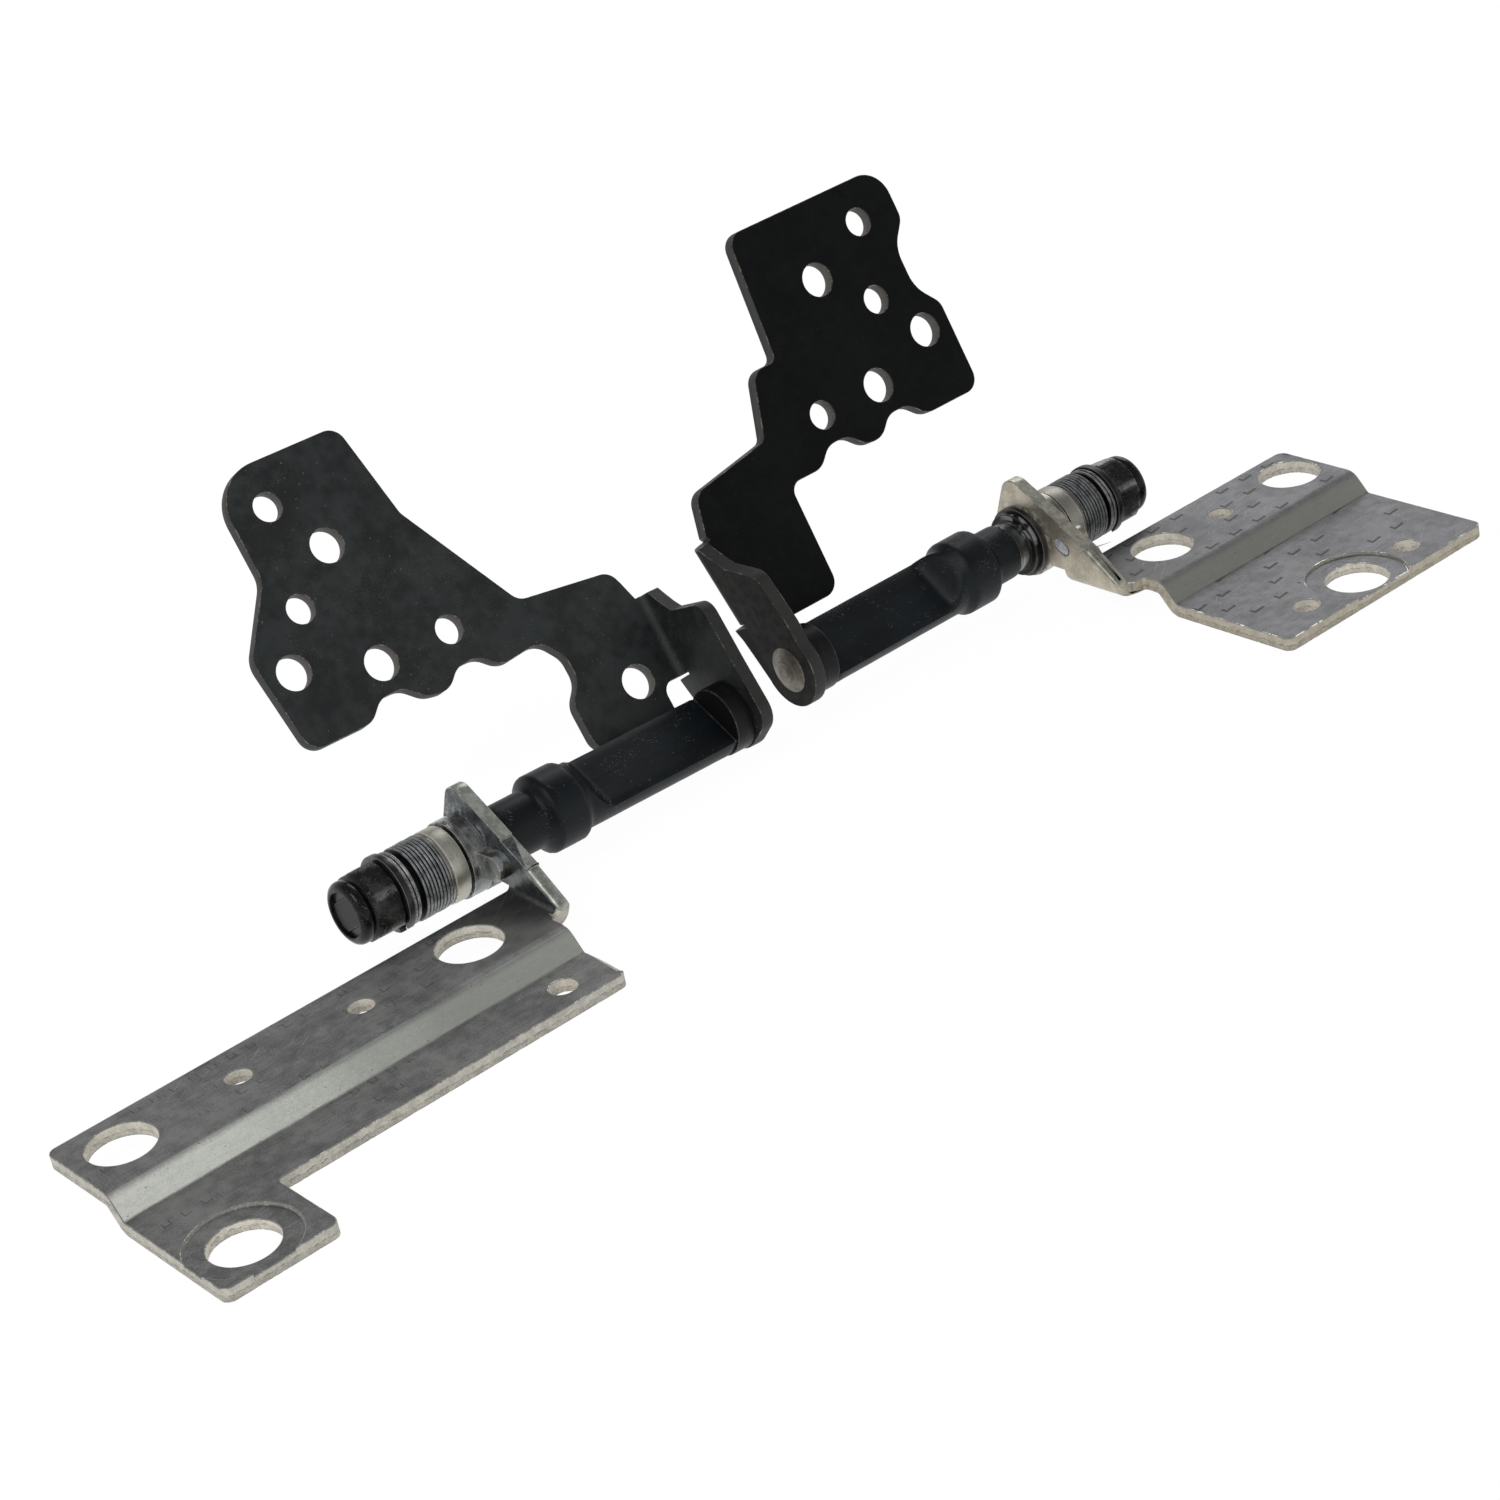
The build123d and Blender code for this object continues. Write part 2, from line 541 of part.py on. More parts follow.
def left_display_bracket():
    """Display bracket whose plate leans outwards over the whole hinge."""
    fold_x = LID_SHEET + LID_BEND
    outline = [
        fold_corner(FOLD_BOTTOM, LEFT_TAB_LEAN),
        (fold_x + LEFT_ARM_RELIEF, FOLD_BOTTOM, INSIDE_CORNER),
        (fold_x + LEFT_ARM_RELIEF, LEFT_ARM_FOOT, LID_BEND / 2),
        (LEFT_ARM_END, LEFT_ARM_FOOT, PLATE_CORNER),
        (LEFT_ARM_END, LEFT_WAIST_HEIGHT - SCALLOP_SLOPE - SCALLOP_HALF, SCALLOP_ROUND),
        (LEFT_WAIST_X, LEFT_WAIST_HEIGHT - SCALLOP_HALF, SCALLOP_ROUND),
        (LEFT_WAIST_X, LEFT_WAIST_HEIGHT + SCALLOP_HALF, SCALLOP_ROUND),
        (LEFT_ARM_END, LEFT_PLATE_FOOT, SCALLOP_ROUND),
        *bay(LEFT_BAY_INNER, LEFT_PLATE_FOOT - SCALLOP_SLOPE / 4),
        *bay(LEFT_BAY_OUTER, LEFT_PLATE_FOOT),
        (LEFT_PLATE_LOW_END, LEFT_PLATE_FOOT, PLATE_CORNER),
        (LEFT_PLATE_END, LEFT_SLOPE_LOW, LEFT_SLOPE_ROUND),
        (LEFT_UPPER_END, LEFT_SLOPE_HIGH, LEFT_SLOPE_ROUND),
        (LEFT_UPPER_END, LEFT_PLATE_TOP, LEFT_UPPER_ROUND),
        (LEFT_CREST, LEFT_PLATE_TOP, PLATE_CORNER),
        (LEFT_KNEE_X, LEFT_KNEE_HEIGHT, PLATE_CORNER),
        (LEFT_ARM_X, LEFT_ARM_TOP, PLATE_CORNER),
        (fold_x + LID_BEND, LEFT_ARM_SHOULDER, PLATE_CORNER),
        fold_corner(FOLD_TOP, LEFT_TAB_LEAN),
    ]
    screws = [
        (LEFT_SCREW_TOP_X, LEFT_PLATE_TOP - LEFT_SCREW_TOP_DROP),
        (LEFT_SCREW_END_X, LEFT_SCREW_END_HEIGHT),
        (LEFT_SCREW_LOW_X, LEFT_SCREW_LOW_HEIGHT),
        (LEFT_SCREW_ARM_X, LEFT_SCREW_ARM_HEIGHT),
    ]
    pins = [
        (LEFT_PIN_TOP_X, LEFT_PLATE_TOP - LEFT_PIN_TOP_DROP),
        (LEFT_PIN_MIDDLE_X, LEFT_PIN_MIDDLE_HEIGHT),
        (LEFT_PIN_LOW_X, LEFT_PIN_LOW_HEIGHT),
    ]
    tab = lid_tab(LEFT_TAB_END, LEFT_TAB_FRONT, LEFT_TAB_SHOULDER, LEFT_TAB_LEAN)
    return display_bracket(outline, screws, pins, tab)


def right_display_bracket():
    """Display bracket with a stepped inner edge and a hollow in its outer edge."""
    fold_x = LID_SHEET + LID_BEND
    scoop_x = RIGHT_PLATE_END - RIGHT_SCOOP_DEPTH
    upper_edge = RIGHT_PLATE_TOP - RIGHT_SCOOP_HIGH
    upper_round = min(RIGHT_PLATE_ROUND, RIGHT_ROUND_SHARE * upper_edge)
    outline = [
        fold_corner(FOLD_BOTTOM, RIGHT_TAB_LEAN),
        (fold_x + LID_BEND, RIGHT_ARM_FOOT, 0),
        (RIGHT_ARM_END, RIGHT_ARM_FOOT, PLATE_CORNER),
        (RIGHT_ARM_END, RIGHT_PLATE_FOOT, INSIDE_CORNER),
        *bay(RIGHT_BAY_INNER, RIGHT_PLATE_FOOT),
        *bay(RIGHT_BAY_OUTER, RIGHT_PLATE_FOOT),
        (RIGHT_PLATE_END, RIGHT_PLATE_FOOT, PLATE_CORNER),
        (RIGHT_PLATE_END, RIGHT_SCOOP_LOW, PLATE_CORNER),
        (scoop_x, RIGHT_SCOOP_LOW + RIGHT_SCOOP_SLOPE, RIGHT_SCOOP_ROUND),
        (scoop_x, RIGHT_SCOOP_HIGH - RIGHT_SCOOP_SLOPE, RIGHT_SCOOP_ROUND),
        (RIGHT_PLATE_END, RIGHT_SCOOP_HIGH, PLATE_CORNER),
        (RIGHT_PLATE_END, RIGHT_PLATE_TOP, upper_round),
        (RIGHT_CREST, RIGHT_PLATE_TOP, PLATE_CORNER),
        (RIGHT_STEP_X, RIGHT_STEP_HEIGHT, LID_BEND),
        (RIGHT_STEP_OUT, RIGHT_STEP_HEIGHT, PLATE_CORNER),
        (RIGHT_SHOULDER_X, RIGHT_SHOULDER_HEIGHT, LID_BEND),
        (RIGHT_ARM_X, RIGHT_ARM_TOP, PLATE_CORNER),
        (RIGHT_ARM_LOW_X, FOLD_TOP + LID_BEND / 2, 0),
        fold_corner(FOLD_TOP, RIGHT_TAB_LEAN),
    ]
    screws = [
        (RIGHT_SCREW_TOP_X, RIGHT_PLATE_TOP - RIGHT_SCREW_TOP_DROP),
        (RIGHT_SCREW_END_X, RIGHT_SCREW_END_HEIGHT),
        (RIGHT_SCREW_LOW_X, RIGHT_SCREW_LOW_HEIGHT),
    ]
    pins = [
        (RIGHT_PIN_TOP_X, RIGHT_PLATE_TOP - RIGHT_PIN_TOP_DROP),
        (RIGHT_PIN_MIDDLE_X, RIGHT_PIN_MIDDLE_HEIGHT),
        (RIGHT_PIN_LOW_X, RIGHT_PIN_LOW_HEIGHT),
    ]
    tab = lid_tab(RIGHT_TAB_END, RIGHT_TAB_FRONT, RIGHT_TAB_SHOULDER, RIGHT_TAB_LEAN)
    return display_bracket(outline, screws, pins, tab)


def half_round_cut(start, end, rise):
    """Cutter that leaves the half-round length's flat at the given distance from the axis."""
    size = 2 * FLANGE
    block = Box(end - start, size, size, align=(Align.MIN, Align.CENTER, Align.MIN))
    return Rot(X=HALF_ROUND_TURN) * Pos(start, 0, rise) * block


def shaft_core(grow, start, end):
    """Turned middle of the shaft under the sleeve, grown by a wall or a clearance."""
    half = HALF_ROUND / 2 + grow
    collar = COLLAR / 2 + grow
    neck = NECK / 2 + grow
    lead = HALF_ROUND_END - grow / 2
    tail = COLLAR_END + grow / 2
    return turned([
        (start, 0),
        (start, half),
        (lead, half),
        (lead + COLLAR_SLOPE, collar),
        (tail - COLLAR_SLOPE, collar),
        (tail, neck),
        (end, neck),
        (end, 0),
    ])


def shaft():
    """Turned shaft: peened head, spigot, flange, half-round, collar, journal, flattened stem."""
    dome_radius = ((RIVET_HEAD / 2)**2 + RIVET_HEAD_HEIGHT**2) / (2 * RIVET_HEAD_HEIGHT)
    dome = Pos(dome_radius - RIVET_HEAD_HEIGHT, 0, 0) * Sphere(dome_radius)
    head = ring(RIVET_HEAD, -RIVET_HEAD_HEIGHT, 0) & dome
    spigot = along_shaft(double_flat(SPIGOT, SPIGOT_FLATS), 0, LID_SHEET)
    body = head + spigot + ring(FLANGE, LID_SHEET, FLANGE_END)
    body += shaft_core(0, FLANGE_END, NECK_END) - half_round_cut(FLANGE_END, HALF_ROUND_END, HALF_ROUND_RISE)
    body += ring(SHOULDER, NECK_END, SHOULDER_END) + ring(JOURNAL, SHOULDER_END, EAR_OUTER)
    return body + along_shaft(double_flat(STEM, STEM_FLATS), EAR_OUTER, STEM_END)


def shrink_sleeve(bare_neck):
    """Thin shrunk tube that follows the half-round length, the collar and the neck."""
    start = FLANGE_END + SLEEVE_FLANGE_GAP
    end = NECK_END - bare_neck
    outer_grow = SEAT_PLAY + SLEEVE_WALL
    outside = shaft_core(outer_grow, start, end)
    outside -= half_round_cut(FLANGE_END, HALF_ROUND_END - outer_grow, HALF_ROUND_RISE + outer_grow)
    inside = shaft_core(SEAT_PLAY, FLANGE_END, NECK_END)
    inside -= half_round_cut(FLANGE_END, HALF_ROUND_END - SEAT_PLAY, HALF_ROUND_RISE + SEAT_PLAY)
    return outside - inside


def inner_washer():
    """Friction washer between the shaft's shoulder and the ear."""
    bore = Circle(JOURNAL / 2 + SEAT_PLAY)
    return along_shaft(Circle(INNER_WASHER / 2) - bore, SHOULDER_END, INNER_WASHER_END)


def cam_lobes(outer, bore, start, end, turn):
    """Two raised sectors on a cam's face."""
    half = radians(CAM_LOBE_ANGLE / 2)
    reach = outer
    sector = make_face(Polyline((0, 0), (reach * cos(half), -reach * sin(half)),
                                (reach * cos(half), reach * sin(half)), close=True))
    wedges = Rot(Z=turn) * sector + Rot(Z=turn + 180) * sector
    return along_shaft((Circle(outer / 2) & wedges) - bore, start, end)


def fixed_cam():
    """Cam that stands on the ear, held by an arm with a lug in the ear's slot."""
    bore = Circle(STEM / 2 + BORE_PLAY)
    floor = FIXED_CAM_END - CAM_LOBE_RISE
    cam = along_shaft(Circle(FIXED_CAM / 2) - bore, EAR_OUTER, floor)
    cam += along_shaft(Circle(FIXED_CAM / 2) - Circle(CAM_TRACK / 2), floor, FIXED_CAM_END - CAM_SKIRT_BACK)
    cam += cam_lobes(CAM_TRACK, bore, floor, FIXED_CAM_END, CAM_STEP_TURN)
    turn = radians(LUG_TURN)
    lug_centre = (LUG_REACH * cos(turn), LUG_REACH * sin(turn))
    arm = Rot(Z=LUG_TURN) * Pos(LUG_REACH / 2, 0) * Rectangle(LUG_REACH, CAM_ARM_WIDTH)
    arm += Pos(*lug_centre) * Circle(CAM_ARM_WIDTH / 2)
    cam += along_shaft(arm - bore, EAR_OUTER, EAR_OUTER + CAM_ARM_THICKNESS)
    return cam + along_shaft(lug_section(0), EAR_INNER, EAR_OUTER)


def moving_cam():
    """Cam keyed to the shaft, its lobes running on the fixed cam's lobes inside a skirt."""
    bore = double_flat(STEM + 2 * SEAT_PLAY, STEM_FLATS + 2 * SEAT_PLAY)
    floor = MOVING_CAM_START + CAM_LOBE_RISE
    cam = keyed_disc(MOVING_CAM, floor, MOVING_CAM_END)
    cam += along_shaft(Circle(MOVING_CAM / 2) - Circle(CAM_TRACK / 2), MOVING_CAM_START + CAM_SKIRT_BACK, floor)
    cam += cam_lobes(CAM_TRACK, bore, MOVING_CAM_START, floor, CAM_STEP_TURN + CAM_LOBE_LAG)
    notch = Pos(MOVING_CAM / 2, 0) * Rectangle(2 * CAM_NOTCH_DEPTH, CAM_NOTCH_WIDTH)
    cutter = along_shaft(Rot(Z=CAM_NOTCH_TURN) * notch, MOVING_CAM_END - CAM_NOTCH_LENGTH, MOVING_CAM_END)
    return cam - cutter


def cam_washer():
    """Thin keyed washer between the moving cam and the springs."""
    return keyed_disc(CAM_WASHER, MOVING_CAM_END, CAM_WASHER_END)


def disc_springs():
    """Coned discs stacked face to face and back to back."""
    inner = STEM / 2 + SPRING_BORE_PLAY
    outer = SPRING / 2
    discs = []
    for index in range(SPRING_COUNT):
        start = CAM_WASHER_END + index * SPRING_PITCH
        leans_out = index % 2 == 0
        inner_x = start if leans_out else start + SPRING_CONE
        outer_x = start + SPRING_CONE if leans_out else start
        discs.append(turned([
            (inner_x, inner),
            (outer_x, outer),
            (outer_x + SPRING_THICKNESS, outer),
            (inner_x + SPRING_THICKNESS, inner),
        ]))
    return Compound(discs)


def spacer_ring():
    """Small dark spacer that leaves a groove beside the springs."""
    return keyed_disc(SPACER, SPRINGS_END, SPACER_END)


def thrust_washers():
    """Plain thin washers beside the spacer."""
    washers = []
    for index in range(THRUST_WASHER_COUNT):
        start = SPACER_END + index * THRUST_WASHER_THICKNESS
        washers.append(keyed_disc(THRUST_WASHER, start, start + THRUST_WASHER_THICKNESS))
    return Compound(washers)


def tab_washer():
    """Keyed washer under the nut, with a notch in its rim."""
    notch_centre = TAB_WASHER / 2 - TAB_NOTCH_DEPTH / 2
    notch = Pos(0, -notch_centre) * Rectangle(TAB_NOTCH_WIDTH, TAB_NOTCH_DEPTH)
    cutter = along_shaft(notch, THRUST_WASHERS_END, TAB_WASHER_END)
    return keyed_disc(TAB_WASHER, THRUST_WASHERS_END, TAB_WASHER_END) - cutter


def lock_nut():
    """Hexagon nut with bevelled corners and a round locking collar."""
    hexagon = RegularPolygon(NUT_FLATS / 2, 6, major_radius=False)
    corner = NUT_FLATS / sqrt(3)
    bevel = turned([
        (TAB_WASHER_END, 0),
        (TAB_WASHER_END, corner),
        (NUT_HEX_END - NUT_CHAMFER, corner),
        (NUT_HEX_END, NUT_FLATS / 2),
        (NUT_HEX_END, 0),
    ])
    collar = ring(NUT_COLLAR, NUT_HEX_END, NUT_END)
    rims = collar.edges().filter_by(GeomType.CIRCLE).sort_by(Axis.X)
    collar = fillet(rims[-1], NUT_COLLAR_ROUND)
    foot = collar.edges().filter_by(GeomType.CIRCLE).sort_by(Axis.X)[0]
    collar = fillet(foot, NUT_COLLAR_FOOT)
    nut = (along_shaft(hexagon, TAB_WASHER_END, NUT_HEX_END) & bevel) + collar
    nut -= ring(NUT_RECESS, NUT_END - NUT_RECESS_DEPTH, NUT_END + END_PLAY)
    return nut - ring(STEM + 2 * SEAT_PLAY, TAB_WASHER_END - END_PLAY, NUT_END + END_PLAY)


STANDING = {"fixed_cam": fixed_cam}
TURNING = {
    "shaft": shaft,
    "inner_washer": inner_washer,
    "moving_cam": moving_cam,
    "cam_washer": cam_washer,
    "disc_springs": disc_springs,
    "spacer_ring": spacer_ring,
    "thrust_washers": thrust_washers,
    "tab_washer": tab_washer,
    "lock_nut": lock_nut,
}


def hinge(base, lid, opening, place, bare_neck):
    """All pieces of one hinge, its lid turned back from straight up to the given opening."""
    swing = place * Rot(X=90 - opening)
    pieces = {"base_bracket": base(), "display_bracket": swing * lid()}
    pieces["shrink_sleeve"] = swing * shrink_sleeve(bare_neck)
    for name, make in STANDING.items():
        pieces[name] = place * make()
    for name, make in TURNING.items():
        pieces[name] = swing * make()
    return pieces


def hinge_pair():
    """Both hinges tab to tab, the left one mirrored."""
    pieces = {}
    right_place = on_ear(RIGHT_EAR_LEAN, RIGHT_EAR_DROP)
    left_place = on_ear(LEFT_EAR_LEAN, LEFT_EAR_DROP)
    right = hinge(right_base_bracket, right_display_bracket, RIGHT_OPENING, right_place, RIGHT_BARE_NECK)
    left = hinge(left_base_bracket, left_display_bracket, LEFT_OPENING, left_place, LEFT_BARE_NECK)
    for name, piece in right.items():
        pieces["right_" + name] = Pos(TAB_GAP / 2, 0, 0) * piece
    for name, piece in left.items():
        pieces["left_" + name] = mirror(Pos(TAB_GAP / 2, 0, 0) * piece, about=Plane.YZ)
    return pieces


def standing_place(pieces):
    """Move that sets the pair on z = 0 with the middle of its footprint at the origin."""
    boxes = [piece.bounding_box() for piece in pieces.values()]
    middle_x = (min(box.min.X for box in boxes) + max(box.max.X for box in boxes)) / 2
    middle_y = (min(box.min.Y for box in boxes) + max(box.max.Y for box in boxes)) / 2
    lowest = min(box.min.Z for box in boxes)
    return Pos(-middle_x, -middle_y, -lowest)


PIECES = hinge_pair()
STAND = standing_place(PIECES)
os.makedirs("parts", exist_ok=True)
for node, piece in PIECES.items():
    export_step(STAND * piece, "parts/" + node + ".step")
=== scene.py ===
import json
import math
import bmesh
import bpy
from mathutils import Matrix, Vector, noise
from mathutils.bvhtree import BVHTree


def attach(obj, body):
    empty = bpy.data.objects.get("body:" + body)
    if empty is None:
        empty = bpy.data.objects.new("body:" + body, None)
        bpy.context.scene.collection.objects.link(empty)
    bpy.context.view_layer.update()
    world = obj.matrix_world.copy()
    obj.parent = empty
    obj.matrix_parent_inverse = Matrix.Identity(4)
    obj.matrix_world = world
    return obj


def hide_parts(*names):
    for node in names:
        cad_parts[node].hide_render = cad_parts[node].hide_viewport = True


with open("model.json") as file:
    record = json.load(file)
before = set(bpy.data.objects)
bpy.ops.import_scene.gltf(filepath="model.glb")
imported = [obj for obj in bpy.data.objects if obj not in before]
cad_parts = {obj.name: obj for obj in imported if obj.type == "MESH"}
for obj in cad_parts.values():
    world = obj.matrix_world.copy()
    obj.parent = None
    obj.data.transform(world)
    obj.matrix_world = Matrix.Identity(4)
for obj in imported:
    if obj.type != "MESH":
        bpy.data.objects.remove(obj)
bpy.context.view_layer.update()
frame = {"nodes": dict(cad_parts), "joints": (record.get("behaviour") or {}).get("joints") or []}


# Base brackets. Each is one strip of zinc-plated steel, blanked with its holes in a press, joggled
# down to a lower strip and folded up into the ear that carries the hinge; screws hold it in the
# keyboard half. The sheared edges are bare and beige, the faces keep mill grain, stamping and scuffs.
MM = 0.001
SHEET = 1.2
EAR_MIDDLE = 28.2
EAR_OUTER = 28.8
EAR_ZONE = (27.3, 29.5)
hinge_lines = {}
for joint in frame["joints"]:
    side = joint["name"].split("_")[0]
    outward = Vector(joint["axis"]) * (1 if side == "left" else -1)
    hinge_lines[side] = (Vector(joint["pos_m"]) / MM - outward * EAR_MIDDLE, outward)


class Tone:
    """One socket of a finish, so that the sums of its shading are written as plain expressions."""

    def __init__(self, tree, socket):
        self.tree = tree
        self.socket = socket

    def node(self, kind, settings=None, sockets=None, out=0):
        made = self.tree.nodes.new(kind)
        for name, value in (settings or {}).items():
            if name == "stops":
                ramp = made.color_ramp.elements
                while len(ramp) < len(value):
                    ramp.new(0.5)
                for stop, (place, colour) in zip(ramp, value):
                    stop.position = place
                    stop.color = colour
            else:
                setattr(made, name, value)
        for name, value in (sockets or {}).items():
            if isinstance(value, Tone):
                self.tree.links.new(value.socket, made.inputs[name])
            else:
                made.inputs[name].default_value = value
        return Tone(self.tree, made.outputs[out] if len(made.outputs) else None)

    def math(self, operation, first, second=0.0):
        return self.node("ShaderNodeMath", {"operation": operation}, {0: first, 1: second})

    def __add__(self, other):
        return self.math("ADD", self, other)

    def __radd__(self, other):
        return self.math("ADD", other, self)

    def __sub__(self, other):
        return self.math("SUBTRACT", self, other)

    def __rsub__(self, other):
        return self.math("SUBTRACT", other, self)

    def __mul__(self, other):
        return self.math("MULTIPLY", self, other)

    def __rmul__(self, other):
        return self.math("MULTIPLY", other, self)

    def __truediv__(self, other):
        return self.math("DIVIDE", self, other)

    def __abs__(self):
        return self.math("ABSOLUTE", self)

    def most(self, other):
        return self.math("MAXIMUM", self, other)

    def step(self, low, high):
        """0 below low, 1 above high, smooth between."""
        return self.node("ShaderNodeMapRange", {"interpolation_type": "SMOOTHSTEP"},
                         {"Value": self, "From Min": low, "From Max": high})

    def within(self, low, high, soft):
        """1 between low and high, fading over soft at both ends."""
        return self.step(low - soft, low + soft) * (1 - self.step(high - soft, high + soft))

    def tint(self, under, over):
        """The colour under, covered by the colour over where this value is 1."""
        return self.node("ShaderNodeMix", {"data_type": "RGBA"}, {0: self, 6: under, 7: over}, 2)

    def part(self, letter):
        return self.node("ShaderNodeSeparateXYZ", None, {0: self}, "XYZ".index(letter))

    def along(self, start, direction):
        """Distance of a place past start, along a direction."""
        moved = self.node("ShaderNodeVectorMath", {"operation": "SUBTRACT"}, {0: self, 1: start})
        return self.node("ShaderNodeVectorMath", {"operation": "DOT_PRODUCT"}, {0: moved, 1: direction}, 1)

    def off_line(self, start, direction):
        """Distance of a place from a line."""
        moved = self.node("ShaderNodeVectorMath", {"operation": "SUBTRACT"}, {0: self, 1: start})
        across = self.node("ShaderNodeVectorMath", {"operation": "CROSS_PRODUCT"}, {0: moved, 1: direction})
        return self.node("ShaderNodeVectorMath", {"operation": "LENGTH"}, {0: across}, 1)

    def cloud(self, size, detail=2.0, stretch=(1, 1, 1), turn=(0, 0, 0)):
        """Cloudy value with features of about size, drawn out along the stretched and turned axes."""
        placed = self.node("ShaderNodeMapping", {"vector_type": "TEXTURE"},
                           {"Vector": self, "Rotation": turn, "Scale": tuple(size * s for s in stretch)})
        return self.node("ShaderNodeTexNoise", None, {"Vector": placed, "Scale": 1.0, "Detail": detail})

    def turning_lines(self, scale, detail):
        """Lines that follow a distance, like the marks of a turning tool."""
        return self.node("ShaderNodeTexNoise", {"noise_dimensions": "1D"},
                         {"W": self, "Scale": scale, "Detail": detail})

    def scratches(self, width, length, turn, share):
        """Thin lines of about the given length, all lying one way, on a share of the surface."""
        return self.cloud(width, 1.0, (length / width, 1, 1), turn).step(0.80 - share, 0.84 - share)

    def relief(self, depth, strength=1.0):
        """A normal bumped by this height, with depth in mm."""
        return self.node("ShaderNodeBump", None,
                         {"Height": self, "Distance": depth * MM, "Strength": strength})


def shaded(colour, share):
    """A colour with its brightness multiplied by a share."""
    return tuple(c * share for c in colour[:3]) + (1,)


def new_finish(name):
    """An empty finish and the place on the piece in mm, which its patterns start from."""
    finish = bpy.data.materials.new(name)
    finish.use_nodes = True
    finish.node_tree.nodes.clear()
    place = Tone(finish.node_tree, None).node("ShaderNodeTexCoord", out=3)
    place = place.node("ShaderNodeVectorMath", {"operation": "SCALE"}, {0: place, "Scale": 1 / MM})
    return finish, place


def close_finish(place, colour, roughness, metallic, normal, **constants):
    """Ends a finish in a shader that takes its colour, roughness, metal and relief."""
    sockets = {"Base Color": colour, "Roughness": roughness, "Metallic": metallic, "Normal": normal}
    sockets.update({name.replace("_", " "): value for name, value in constants.items()})
    shader = place.node("ShaderNodeBsdfPrincipled", None, sockets)
    place.node("ShaderNodeOutputMaterial", None, {"Surface": shader})


def punched_marks(place, across_pitch, row_pitch, stroke, share, two_legs):
    """Rows of short punched strokes that spell nothing: a bar, and by chance one leg or two."""
    y = place.part("Y")
    row = place.math("FLOOR", y / row_pitch)
    across = place.part("X") / across_pitch + row * 0.37
    cell = place.node("ShaderNodeCombineXYZ", None, {0: place.math("FLOOR", across), 1: row})
    chance = place.node("ShaderNodeTexWhiteNoise", {"noise_dimensions": "2D"}, {"Vector": cell})
    second = place.node("ShaderNodeTexWhiteNoise", {"noise_dimensions": "3D"}, {"Vector": cell})
    second = second.step(0.5, 0.51)
    u = place.math("FRACT", across) * across_pitch
    v = place.math("FRACT", y / row_pitch) * row_pitch - u * 0.12
    left_end = across_pitch * 0.25
    right_end = across_pitch * 0.68
    foot = row_pitch * 0.30
    bar = u.within(left_end, right_end, 0.03) * v.within(foot, foot + stroke, 0.03)
    leg = u.within(left_end, left_end + stroke, 0.03) * v.within(foot, row_pitch * 0.62, 0.03)
    far_leg = u.within(right_end - stroke, right_end, 0.03) * v.within(foot, row_pitch * 0.55, 0.03)
    return bar.most(leg).most(far_leg * second * two_legs) * chance.step(0.98 - share, 1.0 - share)


